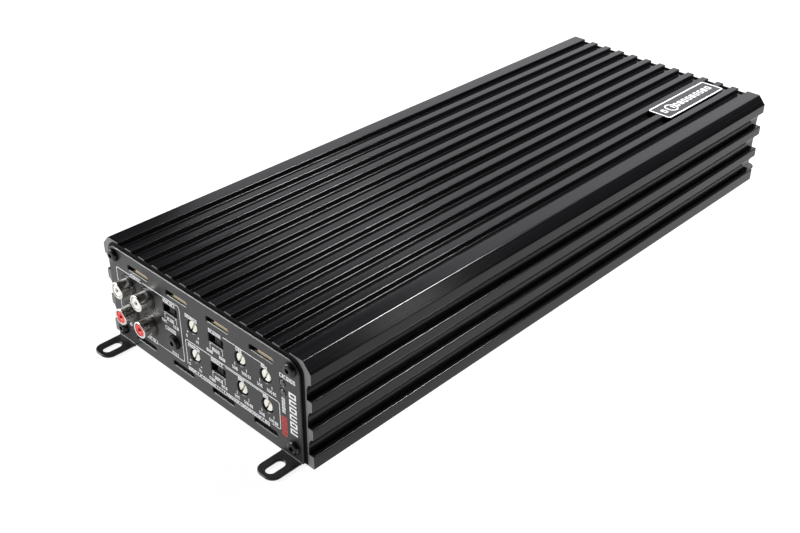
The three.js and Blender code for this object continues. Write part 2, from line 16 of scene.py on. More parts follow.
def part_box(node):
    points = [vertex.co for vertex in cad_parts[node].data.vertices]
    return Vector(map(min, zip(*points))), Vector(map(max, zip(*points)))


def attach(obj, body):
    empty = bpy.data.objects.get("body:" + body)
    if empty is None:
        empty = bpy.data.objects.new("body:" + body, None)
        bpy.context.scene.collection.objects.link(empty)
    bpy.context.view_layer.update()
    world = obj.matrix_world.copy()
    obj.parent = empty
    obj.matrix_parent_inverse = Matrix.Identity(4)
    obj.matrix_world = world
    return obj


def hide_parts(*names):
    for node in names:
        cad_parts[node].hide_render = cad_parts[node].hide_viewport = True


bl_info = {
    "name": "Car Amplifier",
    "version": (1, 0, 0),
    "blender": (4, 5, 0),
    "location": "View3D > Sidebar > Amplifier",
    "description": "Builds the finished pieces and materials of a ribbed car amplifier",
    "category": "Object",
}

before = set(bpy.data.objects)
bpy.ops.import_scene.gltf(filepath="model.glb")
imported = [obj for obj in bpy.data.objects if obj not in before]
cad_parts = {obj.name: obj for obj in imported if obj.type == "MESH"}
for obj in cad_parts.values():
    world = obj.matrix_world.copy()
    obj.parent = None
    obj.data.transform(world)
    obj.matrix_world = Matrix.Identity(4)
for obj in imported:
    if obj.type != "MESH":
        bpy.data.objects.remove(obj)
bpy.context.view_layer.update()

MM = 0.001
CHASSIS = "chassis"
SMOOTH_ANGLE = math.radians(32)
CASE_LOW, CASE_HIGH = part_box("heatsink_case")
PANEL_FACE_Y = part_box("jack_housing")[0].y
PANEL_SHEET = 1.2 * MM
CHANNELS = ("front", "rear")
FLANKS = ("left", "right")
USES = ("gain", "high_pass", "low_pass")
SWITCHES = ("input_switch", "front_filter_switch", "rear_filter_switch")
LAMPS = ("alarm_led", "power_led")


# ---------------------------------------------------------------- settings


def length(name, default, description):
    return FloatProperty(
        name=name, default=default, description=description, unit="LENGTH", precision=5
    )


def colour(name, default, description):
    return FloatVectorProperty(
        name=name, default=default, description=description, subtype="COLOR", size=3, min=0, max=1
    )


class CaseSettings(bpy.types.PropertyGroup):
    """Sizes of the ribbed extrusion."""

    channels: IntProperty(name="Channels", default=12, description="Channels along the top")
    pitch: length("Pitch", 10 * MM, "Distance between two ribs on the top")
    channel_width: length("Channel width", 5.5 * MM, "Width of a channel on the top")
    channel_depth: length("Channel depth", 2.8 * MM, "Depth of a channel on the top")
    chamfer_width: length("Chamfer width", 4.3 * MM, "Width of the slope at each upper corner")
    chamfer_height: length("Chamfer height", 4.8 * MM, "Height of the slope at each upper corner")
    corner_face: length("Corner face", 9.9 * MM, "Depth of the lower edge of the corner's face")
    side_first: length("First side rib", 18.4 * MM, "Depth of the first side rib below the top")
    side_pitch: length("Side pitch", 14.2 * MM, "Distance between two ribs on a side")
    side_face: length("Side face", 5.2 * MM, "Height of a side rib's outer face")
    side_slope: length("Side slope", 5.2 * MM, "Height of the curve under a side rib")
    side_depth: length("Side depth", 2.9 * MM, "How far a side rib stands out")
    edge: length("Edge", 0.3 * MM, "Radius of the extrusion's inner edges")
    crown: length("Crown", 0.5 * MM, "Radius of the edges that show from above")


class FinishSettings(bpy.types.PropertyGroup):
    """Colours of the amplifier's finishes."""

    anodising: colour("Anodising", (0.0045, 0.0045, 0.005), "Black anodised extrusion")
    coating: colour("Coating", (0.015, 0.015, 0.0155), "Dark grey coating of the end panels")
    ink: colour("Ink", (0.80, 0.80, 0.82), "White print on the panels and badge")
    warm_ink: colour("Warm ink", (0.52, 0.035, 0.03), "Red print on the control panel")
    card: colour("Card", (0.56, 0.47, 0.32), "Insulating card behind the vents")


class StageSettings(bpy.types.PropertyGroup):
    """The camera and the light around the amplifier."""

    camera_place: FloatVectorProperty(
        name="Camera place", default=(0.32615, -0.39926, 0.31385), size=3,
        description="Where the camera stands", subtype="TRANSLATION", unit="LENGTH")
    azimuth: FloatProperty(name="Azimuth", default=math.radians(43.394), subtype="ANGLE",
                           description="How far round to the right the camera stands")
    elevation: FloatProperty(name="Elevation", default=math.radians(32.526), subtype="ANGLE",
                             description="How far down the camera looks")
    roll: FloatProperty(name="Roll", default=math.radians(0.725), subtype="ANGLE",
                        description="How far the camera leans")
    lens: FloatProperty(name="Lens", default=50.08, description="Focal length in millimetres")


class AmplifierSettings(bpy.types.PropertyGroup):
    """Everything that a user may change."""

    case: PointerProperty(type=CaseSettings)
    finish: PointerProperty(type=FinishSettings)
    stage: PointerProperty(type=StageSettings)


# ---------------------------------------------------------------- materials


class Wire:
    """A socket in a material. Arithmetic on it adds Math nodes."""

    def __init__(self, finish, socket):
        self.finish = finish
        self.socket = socket

    def math(self, operation, *operands):
        return self.finish.node("ShaderNodeMath", {"operation": operation}, dict(enumerate(operands)))

    def __add__(self, other):
        return self.math("ADD", self, other)

    def __radd__(self, other):
        return self.math("ADD", other, self)

    def __mul__(self, other):
        return self.math("MULTIPLY", self, other)

    def __rmul__(self, other):
        return self.math("MULTIPLY", other, self)

    def above(self, low, high):
        """0 below low, 1 above high and a smooth step between them."""
        settings = {"interpolation_type": "SMOOTHSTEP", "clamp": True}
        return self.finish.node("ShaderNodeMapRange", settings, {0: self, 1: low, 2: high})


class Finish:
    """A procedural material: a Principled shader and what feeds it."""

    def __init__(self, name, **constants):
        self.material = bpy.data.materials.new(name)
        self.material.use_nodes = True
        self.tree = self.material.node_tree
        self.shader = self.tree.nodes["Principled BSDF"]
        for socket, value in constants.items():
            self.shader.inputs[socket.replace("_", " ").title().replace("Ior", "IOR")].default_value = value
        self.place = self.node("ShaderNodeTexCoord", output="Object")

    def node(self, kind, settings=None, inputs=None, output=0):
        made = self.tree.nodes.new(kind)
        for name, value in (settings or {}).items():
            setattr(made, name, value)
        for name, value in (inputs or {}).items():
            if isinstance(value, Wire):
                self.tree.links.new(value.socket, made.inputs[name])
            else:
                made.inputs[name].default_value = value
        return Wire(self, made.outputs[output])

    def noise(self, scale, stretch=(1, 1, 1), detail=3, roughness=0.55):
        spread = self.node("ShaderNodeVectorMath", {"operation": "MULTIPLY"}, {0: self.place, 1: stretch})
        return self.node("ShaderNodeTexNoise", None,
                         {"Vector": spread, "Scale": scale, "Detail": detail, "Roughness": roughness})

    def cells(self, scale, feature="F1"):
        return self.node("ShaderNodeTexVoronoi", {"feature": feature},
                         {"Vector": self.place, "Scale": scale}, output="Distance")

    def tint(self, dark, light, factor):
        """Feeds the base colour, from dark to light as factor goes from 0 to 1."""
        mixed = self.node("ShaderNodeMix", {"data_type": "RGBA"}, {0: factor, 6: dark, 7: light}, output=2)
        self.feed("Base Color", mixed)

    def feed(self, socket, wire):
        self.tree.links.new(wire.socket, self.shader.inputs[socket])

    def bump(self, height, distance, strength=1.0):
        relief = self.node("ShaderNodeBump", None,
                           {"Height": height, "Distance": distance, "Strength": strength}, output="Normal")
        self.feed("Normal", relief)


def rgba(tint, share=1.0):
    return (*(share * part for part in tint), 1)


def anodised_finish(name, tint):
    """Black anodised aluminium with the fine lines that an extrusion die leaves along it."""
    finish = Finish(name, metallic=0.0, roughness=0.2, ior=1.27)
    lines = finish.noise(1.0, (1900, 2.2, 1900), detail=4)
    broad = finish.noise(1.0, (260, 1.1, 260), detail=2)
    patches = finish.noise(38, detail=4)
    grain = finish.noise(5200, detail=2)
    shade = lines * 0.5 + broad * 0.5
    finish.tint(rgba(tint, 0.6), rgba(tint, 1.9), shade.above(0.3, 0.72))
    finish.feed("Roughness", 0.1 + lines * 0.06 + patches * 0.04 + grain * 0.03)
    finish.bump(lines * 0.8 + grain * 0.25 + broad * 0.6, 0.016 * MM, 0.9)
    return finish.material


def sawn_finish(name):
    """Bare aluminium where the saw cut the extrusion."""
    finish = Finish(name, metallic=0.3, roughness=0.5)
    sweep = finish.noise(1.0, (300, 300, 2600), detail=3)
    patches = finish.noise(120, detail=3)
    finish.tint((0.10, 0.10, 0.105, 1), (0.24, 0.24, 0.25, 1), sweep * 0.6 + patches * 0.4)
    finish.feed("Roughness", 0.42 + sweep * 0.25)
    finish.bump(sweep, 0.02 * MM, 0.6)
    return finish.material


def coating_finish(name, tint):
    """Satin powder coating: fine orange peel with a faint speckle."""
    finish = Finish(name, metallic=0.0, roughness=0.45, ior=1.43)
    peel = finish.cells(2100, "SMOOTH_F1")
    speckle = finish.noise(6500, detail=2)
    clouds = finish.noise(28, detail=3)
    shade = clouds * 0.45 + speckle * 0.55
    finish.tint(rgba(tint, 0.82), rgba(tint, 1.22), shade.above(0.3, 0.7))
    finish.feed("Roughness", 0.28 + speckle * 0.12 + clouds * 0.08)
    finish.bump(peel * 0.7 + speckle * 0.3, 0.02 * MM, 0.5)
    return finish.material


def matt_band_finish(name):
    """Near-black and matt, with a faint tooth: the thin sheet that shows as a dark band round the control
    panel.
    """
    finish = Finish(name, metallic=0.0, roughness=0.75, ior=1.25)
    tooth = finish.noise(2600, detail=3)
    finish.tint((0.0025, 0.0025, 0.0028, 1), (0.006, 0.006, 0.0065, 1), tooth)
    finish.feed("Roughness", 0.65 + tooth * 0.25)
    finish.bump(tooth, 0.03 * MM, 0.6)
    return finish.material


def oxide_finish(name):
    """Black oxide steel, a little shiny on its edges."""
    finish = Finish(name, metallic=0.35, roughness=0.25)
    grain = finish.noise(3200, detail=3)
    patches = finish.noise(420, detail=3)
    finish.tint((0.004, 0.004, 0.004, 1), (0.016, 0.016, 0.018, 1), patches)
    finish.feed("Roughness", 0.16 + patches * 0.16 + grain * 0.08)
    finish.bump(grain, 0.006 * MM, 0.6)
    return finish.material


def nickel_finish(name, tint=(0.72, 0.70, 0.66)):
    """Bright nickel plate with turning marks too fine to see singly."""
    finish = Finish(name, metallic=1.0, roughness=0.18)
    marks = finish.noise(1.0, (260, 3400, 260), detail=2)
    patches = finish.noise(260, detail=4)
    finish.tint(rgba(tint, 0.8), rgba(tint, 1.1), patches)
    finish.feed("Roughness", 0.14 + marks * 0.1 + patches * 0.08)
    finish.bump(marks, 0.03 * MM, 0.9)
    return finish.material


def plastic_finish(name, tint, rough=0.38, grain_depth=0.01):
    """Moulded plastic with a fine spark-eroded grain."""
    finish = Finish(name, metallic=0.0, roughness=rough, ior=1.49)
    grain = finish.noise(3800, detail=3)
    clouds = finish.noise(150, detail=3)
    finish.tint(rgba(tint, 0.84), rgba(tint, 1.08), clouds.above(0.25, 0.75))
    finish.feed("Roughness", rough - 0.07 + grain * 0.14)
    finish.bump(grain, grain_depth * MM, 0.7)
    return finish.material


def ink_finish(name, tint):
    """Screen-printed ink: thin, matt and not quite even."""
    finish = Finish(name, metallic=0.0, roughness=0.55)
    mesh_marks = finish.noise(2600, detail=2)
    finish.tint(rgba(tint, 0.8), rgba(tint, 1.1), mesh_marks.above(0.3, 0.65))
    finish.feed("Roughness", 0.5 + mesh_marks * 0.15)
    return finish.material


def card_finish(name, tint):
    """Pressed card with short fibres."""
    finish = Finish(name, metallic=0.0, roughness=0.8)
    fibres = finish.noise(1.0, (900, 900, 4200), detail=4)
    finish.tint(rgba(tint, 0.8), rgba(tint, 1.2), fibres)
    finish.feed("Roughness", 0.7 + fibres * 0.2)
    finish.bump(fibres, 0.05 * MM, 0.6)
    return finish.material


def board_finish(name):
    """Green solder mask over copper tracks."""
    finish = Finish(name, metallic=0.0, roughness=0.35)
    tracks = finish.node("ShaderNodeTexBrick", {"offset": 0.5, "squash": 0.7}, {
        "Vector": finish.place, "Scale": 90.0, "Mortar Size": 0.012}, output="Fac")
    weave = finish.noise(2400, detail=2)
    finish.tint((0.012, 0.10, 0.045, 1), (0.03, 0.2, 0.08, 1), tracks * 0.7 + weave * 0.3)
    finish.feed("Roughness", 0.28 + weave * 0.12)
    finish.bump(tracks, 0.03 * MM, 0.5)
    return finish.material


def winding_finish(name):
    """Enamelled copper wire wound round a ring, each turn a fine ridge."""
    finish = Finish(name, metallic=0.8, roughness=0.3)
    turns = finish.noise(1.0, (1500, 1500, 30), detail=2)
    finish.tint((0.26, 0.08, 0.02, 1), (0.62, 0.25, 0.1, 1), turns.above(0.35, 0.65))
    finish.feed("Roughness", 0.2 + turns * 0.2)
    finish.bump(turns, 0.15 * MM, 0.8)
    return finish.material


def sleeve_finish(name):
    """Shrink sleeve on a capacitor's can."""
    finish = Finish(name, metallic=0.0, roughness=0.25)
    ripple = finish.noise(1.0, (60, 60, 900), detail=2)
    finish.tint((0.01, 0.016, 0.07, 1), (0.02, 0.035, 0.13, 1), ripple)
    finish.feed("Roughness", 0.18 + ripple * 0.16)
    finish.bump(ripple, 0.04 * MM, 0.4)
    return finish.material


def lens_finish(name):
    """Clear epoxy of an unlit lamp, milky from the die behind it."""
    finish = Finish(name, metallic=0.0, roughness=0.12, ior=1.54)
    haze = finish.noise(900, detail=2)
    finish.tint((0.035, 0.035, 0.036, 1), (0.12, 0.12, 0.125, 1), haze)
    finish.feed("Roughness", 0.08 + haze * 0.1)
    return finish.material


def amber_finish(name):
    """Amber fuse body, see-through enough to look deep."""
    finish = Finish(name, metallic=0.0, roughness=0.2, ior=1.5)
    depth = finish.noise(210, detail=3)
    finish.tint((0.5, 0.14, 0.004, 1), (0.75, 0.3, 0.02, 1), depth)
    finish.feed("Roughness", 0.12 + depth * 0.14)
    finish.bump(depth, 0.05 * MM, 0.3)
    return finish.material


def make_finishes(settings):
    tints = settings.finish
    return {
        "anodised": anodised_finish("black_anodised", tints.anodising),
        "sawn": sawn_finish("sawn_aluminium"),
        "coating": coating_finish("panel_coating", tints.coating),
        "badge": coating_finish("badge_coating", tuple(0.7 * part for part in tints.coating)),
        # Near-black matt finish of the thin sheet that shows as a dark band round the control panel.
        "band_black": matt_band_finish("near_black_band"),
        "screw": oxide_finish("black_screw"),
        "nickel": nickel_finish("nickel_plate"),
        "brass": nickel_finish("brass_contact", (0.62, 0.44, 0.18)),
        "white": plastic_finish("white_plastic", (0.84, 0.83, 0.80), 0.3),
        "red": plastic_finish("red_plastic", (0.80, 0.016, 0.012), 0.3),
        "ivory": plastic_finish("ivory_plastic", (0.80, 0.79, 0.72), 0.42),
        "black": plastic_finish("black_plastic", (0.006, 0.006, 0.0065), 0.4),
        "slider": plastic_finish("slider_plastic", (0.035, 0.033, 0.031), 0.5),
        "dark": plastic_finish("dark_plastic", (0.016, 0.016, 0.017), 0.5),
        "green": plastic_finish("terminal_green", (0.02, 0.19, 0.06), 0.36),
        "ink": ink_finish("white_ink", tints.ink),
        "warm_ink": ink_finish("red_ink", tints.warm_ink),
        "card": card_finish("cream_card", tints.card),
        "board": board_finish("circuit_board"),
        "winding": winding_finish("copper_winding"),
        "sleeve": sleeve_finish("capacitor_sleeve"),
        "aluminium": sawn_finish("bare_aluminium"),
        "lens": lens_finish("lamp_lens"),
        "amber": amber_finish("fuse_plastic"),
    }


finishes = {}


# ---------------------------------------------------------------- outlines


def rounded(corners, steps=3):
    """Points of a closed outline, from corners given as (x, y, radius)."""
    points = []
    count = len(corners)
    for i, (x, y, radius) in enumerate(corners):
        here = Vector((x, y))
        before = (Vector(corners[i - 1][:2]) - here).normalized()
        after = (Vector(corners[(i + 1) % count][:2]) - here).normalized()
        if radius <= 0:
            points.append(here)
            continue
        half = before.angle(after) / 2
        centre = here + (before + after).normalized() * (radius / math.sin(half))
        reach = radius / math.tan(half)
        start = here + before * reach - centre
        end = here + after * reach - centre
        first = math.atan2(start.y, start.x)
        turn = math.remainder(math.atan2(end.y, end.x) - first, 2 * math.pi)
        for step in range(steps + 1):
            angle = first + turn * step / steps
            points.append(centre + radius * Vector((math.cos(angle), math.sin(angle))))
    return points


def ring(x, y, radius, steps=40):
    angles = [2 * math.pi * i / steps for i in range(steps)]
    return [Vector((x + radius * math.cos(a), y + radius * math.sin(a))) for a in angles]


def rounded_rectangle(left, right, bottom, top, lower, upper, steps):
    """A rectangle with one radius at its lower corners and another at its upper ones."""
    corners = [(left, bottom, lower), (right, bottom, lower), (right, top, upper), (left, top, upper)]
    return rounded(corners, steps)


def rounded_box(x, y, width, height, radius, steps=5):
    """A rectangle centred on a point, with four equal corners."""
    dx, dy = width / 2, height / 2
    return rounded_rectangle(x - dx, x + dx, y - dy, y + dy, radius, radius, steps)


def mirrored(corners):
    """The left side's corners, from the right side's."""
    return [(-x, z, radius) for x, z, radius in reversed(corners)]


def turns_left(points):
    """Whether a closed outline runs anticlockwise."""
    return sum(points[i - 1].x * points[i].y - points[i].x * points[i - 1].y for i in range(len(points))) > 0


# ---------------------------------------------------------------- modelling


def curve_mesh(curve):
    """The mesh of a curve or a text, which is used up."""
    holder = bpy.data.objects.new("curve", curve)
    bpy.context.scene.collection.objects.link(holder)
    graph = bpy.context.evaluated_depsgraph_get()
    mesh = bpy.data.meshes.new_from_object(holder.evaluated_get(graph))
    bpy.data.objects.remove(holder)
    bpy.data.curves.remove(curve)
    return mesh


def add_spline(curve, points, closed):
    spline = curve.splines.new("POLY")
    spline.points.add(len(points) - 1)
    for slot, point in zip(spline.points, points):
        slot.co = (*point.to_3d(), 1)
    spline.use_cyclic_u = closed


def cut_sheet(outlines, depth, edge, place, rounds=1):
    """A flat sheet as a bmesh. The first outline is its rim and the others are holes."""
    curve = bpy.data.curves.new("sheet", "CURVE")
    curve.dimensions = "2D"
    curve.fill_mode = "BOTH"
    curve.extrude = depth / 2 - edge
    curve.bevel_depth = edge
    curve.bevel_resolution = rounds
    curve.offset = -edge
    for i, outline in enumerate(outlines):
        is_rim = i == 0
        add_spline(curve, outline if turns_left(outline) == is_rim else outline[::-1], True)
    return placed(curve_mesh(curve), place)


def moved(bm, place):
    """The same bmesh, moved and turned by a matrix."""
    bmesh.ops.transform(bm, matrix=place, verts=bm.verts)
    return bm


def placed(mesh, place):
    """A bmesh of a mesh that is used up, merged and moved to its place."""
    bm = bmesh.new()
    bm.from_mesh(mesh)
    bpy.data.meshes.remove(mesh)
    bmesh.ops.remove_doubles(bm, verts=bm.verts, dist=1e-7)
    return moved(bm, place)


def upright(y):
    """Turns a sheet drawn in X and Z to stand across the case at this y."""
    return Matrix.Translation((0, y, 0)) @ Matrix.Rotation(math.pi / 2, 4, "X")


def stroke(paths, width, proud, y):
    """Printed lines on a panel, along paths of points in X and Z."""
    curve = bpy.data.curves.new("stroke", "CURVE")
    curve.dimensions = "3D"
    curve.bevel_depth = width / 2
    curve.bevel_resolution = 1
    curve.use_fill_caps = True
    for path in paths:
        add_spline(curve, [Vector(point) for point in path], False)
    flatten = Matrix.Diagonal((1, 1, proud / (width / 2), 1))
    return placed(curve_mesh(curve), upright(y) @ flatten)


def turned(profile, segments, place=Matrix()):
    """A turned piece from (radius, y) points that start and end on the axis, or close."""
    bm = bmesh.new()
    points = [bm.verts.new((radius, y, 0)) for radius, y in profile]
    edges = [bm.edges.new(pair) for pair in zip(points, points[1:])]
    if profile[0][0] > 0:
        edges.append(bm.edges.new((points[-1], points[0])))
    bmesh.ops.spin(bm, geom=points + edges, cent=(0, 0, 0), axis=(0, 1, 0), dvec=(0, 0, 0),
                   angle=2 * math.pi, steps=segments, use_merge=True)
    bmesh.ops.remove_doubles(bm, verts=bm.verts, dist=1e-7)
    bmesh.ops.recalc_face_normals(bm, faces=bm.faces)
    return moved(bm, place)


def drawn_out(bm, edges, shift):
    """Walls drawn out from edges, which are returned where they end up."""
    walls = bmesh.ops.extrude_edge_only(bm, edges=edges)["geom"]
    bmesh.ops.translate(bm, vec=shift, verts=[item for item in walls if isinstance(item, bmesh.types.BMVert)])
    return [item for item in walls if isinstance(item, bmesh.types.BMEdge)]


def bevelled(bm, edge, segments=2, least=math.radians(30)):
    """The same bmesh, with every edge sharper than the least angle eased."""
    sharp = [e for e in bm.edges if e.is_manifold and e.calc_face_angle(0) > least]
    bmesh.ops.bevel(bm, geom=sharp, offset=edge, offset_type="OFFSET", segments=segments,
                    profile=0.5, affect="EDGES", clamp_overlap=True, material=-1)
    return bm


def brick(low, high, edge=0.0, segments=2):
    """A block between two corners, with its edges eased."""
    bm = bmesh.new()
    size = Vector(high) - Vector(low)
    middle = (Vector(high) + Vector(low)) / 2
    bmesh.ops.create_cube(bm, size=1, matrix=Matrix.LocRotScale(middle, None, size))
    return bevelled(bm, edge, segments) if edge else bm


def cad_copy(node, edge, segments=2):
    """A copy of a CAD node with its flat faces joined up and its edges eased."""
    bm = bmesh.new()
    bm.from_mesh(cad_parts[node].data)
    bmesh.ops.remove_doubles(bm, verts=bm.verts, dist=1e-6)
    bmesh.ops.dissolve_limit(bm, angle_limit=math.radians(1), verts=bm.verts, edges=bm.edges)
    return bevelled(bm, edge, segments)


def joined(*parts):
    """One bmesh out of several, which are used up."""
    whole = parts[0]
    for part in parts[1:]:
        mesh = bpy.data.meshes.new("part")
        part.to_mesh(mesh)
        part.free()
        whole.from_mesh(mesh)
        bpy.data.meshes.remove(mesh)
    return whole


def painted(bm, index):
    """The same bmesh, all in one of its piece's materials."""
    for face in bm.faces:
        face.material_index = index
    return bm


def piece(name, bm, body, materials, replaces=()):
    """Finishes a bmesh as an object that rides on a body."""
    for face in bm.faces:
        face.smooth = True
    for edge in bm.edges:
        edge.smooth = edge.calc_face_angle(math.pi) < SMOOTH_ANGLE
    mesh = bpy.data.meshes.new(name)
    bm.to_mesh(mesh)
    bm.free()
    for key in materials:
        mesh.materials.append(finishes[key])
    obj = bpy.data.objects.new(name, mesh)
    bpy.context.scene.collection.objects.link(obj)
    flatten = obj.modifiers.new("flat_faces", "WEIGHTED_NORMAL")
    flatten.weight = 90
    flatten.keep_sharp = True
    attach(obj, body)
    if replaces:
        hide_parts(*replaces)


def stand_in(node, bm, materials, body=CHASSIS, name=None):
    """A finished piece that takes one CAD node's place."""
    piece(name or f"{node}_finished", bm, body, materials, [node])


def eased(node, edge, key, name=None, segments=2):
    """A CAD node with its edges eased, as a finished piece."""
    stand_in(node, cad_copy(node, edge, segments), [key], name=name)


def centre(node):
    low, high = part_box(node)
    return (low + high) / 2


def axis_of(node):
    """Moves a turned piece sideways on to a node's own axis."""
    spot = centre(node)
    return Matrix.Translation((spot.x, 0, spot.z))


def hole(node, radius, steps=40):
    """A round hole round a node, in X and Z."""
    spot = centre(node)
    return ring(spot.x, spot.z, radius, steps)


def repaint(node, key):
    """Gives a CAD node that stays in view its material."""
    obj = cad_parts[node]
    obj.data.materials.clear()
    obj.data.materials.append(finishes[key])


# ---------------------------------------------------------------- case


SIDE_RIBS = 2
INNER_GAP = 0.3 * MM


def case_section(case):
    """The extrusion's outline as (x, z, radius) corners, from its left edge round to the right."""
    top = CASE_HIGH.z
    floor = top - case.channel_depth
    channels = []
    for i in range(case.channels):
        middle = (i - (case.channels - 1) / 2) * case.pitch
        left, right = middle - case.channel_width / 2, middle + case.channel_width / 2
        channels += [(left, top, case.crown), (left, floor, case.edge)]
        channels += [(right, floor, case.edge), (right, top, case.crown)]
    side = case_side(case)
    return channels + side + mirrored(side)


def case_side(case):
    """The right side's corners, down the outside and up the inside."""
    top = CASE_HIGH.z
    outer = CASE_HIGH.x
    floor = outer - case.side_depth
    chamfer_radii = (1.3 * MM, 0.8 * MM)
    base_radius = 0.2 * MM
    corners = [
        (outer - case.chamfer_width, top, chamfer_radii[0]),
        (outer, top - case.chamfer_height, chamfer_radii[1]),
        *rib_underside(outer, floor, top - case.corner_face, case),
    ]
    for i in range(SIDE_RIBS):
        rib_top = top - case.side_first - i * case.side_pitch
        corners += [(floor, rib_top, case.edge), (outer, rib_top, case.crown)]
        corners += rib_underside(outer, floor, rib_top - case.side_face, case)
    base_top = top - case.side_first - SIDE_RIBS * case.side_pitch
    corners += [(floor, base_top, case.edge), (outer, base_top, case.crown), (outer, CASE_LOW.z, base_radius)]
    return corners + case_inside(top)


def case_inside(top):
    """The right side's inner corners: the cover's pocket, the screw bosses, the wall and the roof."""
    radius = 0.15 * MM
    pocket_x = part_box("bottom_cover")[1].x + INNER_GAP
    pocket_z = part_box("bottom_cover")[1].z + INNER_GAP
    board_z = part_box("main_board")[0].z - INNER_GAP
    boss_x = 55.8 * MM
    boss_z = top - 10.5 * MM
    wall_x = 64.3 * MM
    roof_z = top - 6.8 * MM
    inner = [(pocket_x, CASE_LOW.z), (pocket_x, pocket_z), (boss_x, pocket_z), (boss_x, board_z),
             (wall_x, board_z), (wall_x, boss_z), (boss_x, boss_z), (boss_x, roof_z)]
    return [(x, z, radius) for x, z in inner]


def rib_underside(outer, floor, z, case):
    """A rib's lower corner and the hollow curve that runs from it in to the wall."""
    corners = [(outer, z, case.edge)]
    depth = outer - floor
    steps = 5
    for i in range(1, steps + 1):
        angle = math.radians(90 / steps * i)
        corners.append((outer - depth * math.sin(angle), z - case.side_slope * (1 - math.cos(angle)), 0))
    return corners


def screw_nodes(end):
    return [f"{end}_panel_screw_{level}_{flank}" for level in ("upper", "lower") for flank in FLANKS]


def screw_holes(radius):
    """Round holes for the four screws of a panel, in X and Z."""
    return [hole(node, radius, 24) for node in screw_nodes("front")]


class AMPLIFIER_OT_case(bpy.types.Operator):
    """Extrude the ribbed case and show the saw's cut on its two ends"""

    bl_idname = "amplifier.case"
    bl_label = "Ribbed case"

    def execute(self, context):
        outlines = [rounded(case_section(context.scene.amplifier.case)), *screw_holes(2 * MM)]
        middle = (CASE_LOW.y + CASE_HIGH.y) / 2
        bm = cut_sheet(outlines, CASE_HIGH.y - CASE_LOW.y, 0.12 * MM, upright(middle))
        for face in bm.faces:
            face.material_index = 1 if abs(face.normal.y) > 0.9 else 0
        stand_in("heatsink_case", bm, ["anodised", "sawn"], name="ribbed_case")
        return {"FINISHED"}


# ---------------------------------------------------------------- end panels


FOOT_X = 58 * MM
FOOT_WIDTH = 12 * MM
FOOT_REACH = 16 * MM
FOOT_SLOT = (4.6 * MM, 9.5 * MM)
FOOT_SLOT_Y = -9 * MM
VENT = (15.1 * MM, 2.5 * MM)
SCREW_HOLE = 2.2 * MM
HAIR = 0.001 * MM


def panel_rim():
    """The upright sheet's outline: round upper corners, and a tongue down into each foot's bend."""
    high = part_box("front_panel")[1]
    inner = FOOT_X - FOOT_WIDTH / 2 - 0.6 * MM
    outer = FOOT_X + FOOT_WIDTH / 2 + 0.3 * MM
    bottom = 0.5 * MM
    tongue = 1.3 * MM
    right = [(inner, bottom, 0), (inner, tongue, 0), (outer, tongue, 0), (outer, bottom, 0),
             (high.x, bottom, 0.5 * MM), (high.x, high.z, 6 * MM)]
    return rounded(right + mirrored(right), 8)


def long_hole(x, z, size, steps):
    """A hole with round ends. They stop a hair short, so that no two points meet."""
    return rounded_box(x, z, *size, min(size) / 2 - HAIR, steps)


def bend_and_foot(side, x):
    """One foot with its slot, and the quarter bend that joins it to the upright sheet."""
    radius = 0.7 * MM
    half = FOOT_WIDTH / 2
    rim = rounded_rectangle(x - half, x + half, -FOOT_REACH, 0.4 * MM - radius, 4.5 * MM, 0, 8)
    flat = cut_sheet([rim, long_hole(x, FOOT_SLOT_Y, FOOT_SLOT, 8)], PANEL_SHEET, 0.25 * MM,
                     Matrix.Translation((0, PANEL_FACE_Y, PANEL_SHEET / 2)), rounds=0)
    bend = bmesh.new()
    start = Vector((x, PANEL_FACE_Y + PANEL_SHEET / 2, PANEL_SHEET + radius))
    size = Vector((FOOT_WIDTH, PANEL_SHEET, 1))
    bmesh.ops.create_grid(bend, x_segments=1, y_segments=1, size=0.5,
                          matrix=Matrix.LocRotScale(start, None, size))
    bmesh.ops.spin(bend, geom=bend.faces[:], cent=(x, PANEL_FACE_Y - radius, PANEL_SHEET + radius),
                   axis=(-1, 0, 0), dvec=(0, 0, 0), angle=math.pi / 2, steps=8, use_merge=False)
    bmesh.ops.recalc_face_normals(bend, faces=bend.faces)
    foot = joined(flat, bend)
    return moved(foot, Matrix.Rotation(math.pi, 4, "Z")) if side > 0 else foot


def vents():
    return [long_hole(x * MM, z * MM, VENT, 6) for z in (45.1, 7.1) for x in (-42, -14, 14, 42)]


def window(node, width, height, radius):
    """A rectangular opening round a node, in X and Z."""
    spot = centre(node)
    return rounded_box(spot.x, spot.z, width, height, radius, 3)


def control_openings():
    """Holes for the sockets, trimmers, switches, lamps and remote jack."""
    holes = []
    for channel in CHANNELS:
        holes += [hole(f"{channel}_{flank}_jack_shell", 5.25 * MM) for flank in FLANKS]
        holes += [hole(f"{channel}_{use}_pot_shaft", 3.5 * MM) for use in USES]
    holes += [window(f"{name}_body", 9.8 * MM, 4.6 * MM, 0.35 * MM) for name in SWITCHES]
    holes += [hole(name, 1.75 * MM, 28) for name in LAMPS]
    return holes + [hole("remote_level_jack", 3.5 * MM)]


def terminal_openings():
    """Holes for the power block and the speaker connector."""
    holes = []
    for node in ("power_block", "speaker_socket"):
        low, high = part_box(node)
        holes.append(window(node, high.x - low.x + 2 * INNER_GAP, high.z - low.z + 2 * INNER_GAP, 0.6 * MM))
    return holes


def end_panel(node, name, side, openings):
    """A folded sheet and its feet. Side is -1 at the control end and 1 at the terminal end."""
    outlines = [panel_rim(), *vents(), *screw_holes(SCREW_HOLE), *openings]
    middle = -side * (PANEL_FACE_Y + PANEL_SHEET / 2)
    sheet = cut_sheet(outlines, PANEL_SHEET, 0.3 * MM, upright(middle), rounds=0)
    feet = [bend_and_foot(side, x) for x in (-FOOT_X, FOOT_X)]
    stand_in(node, joined(sheet, *feet), ["coating"], name=name)


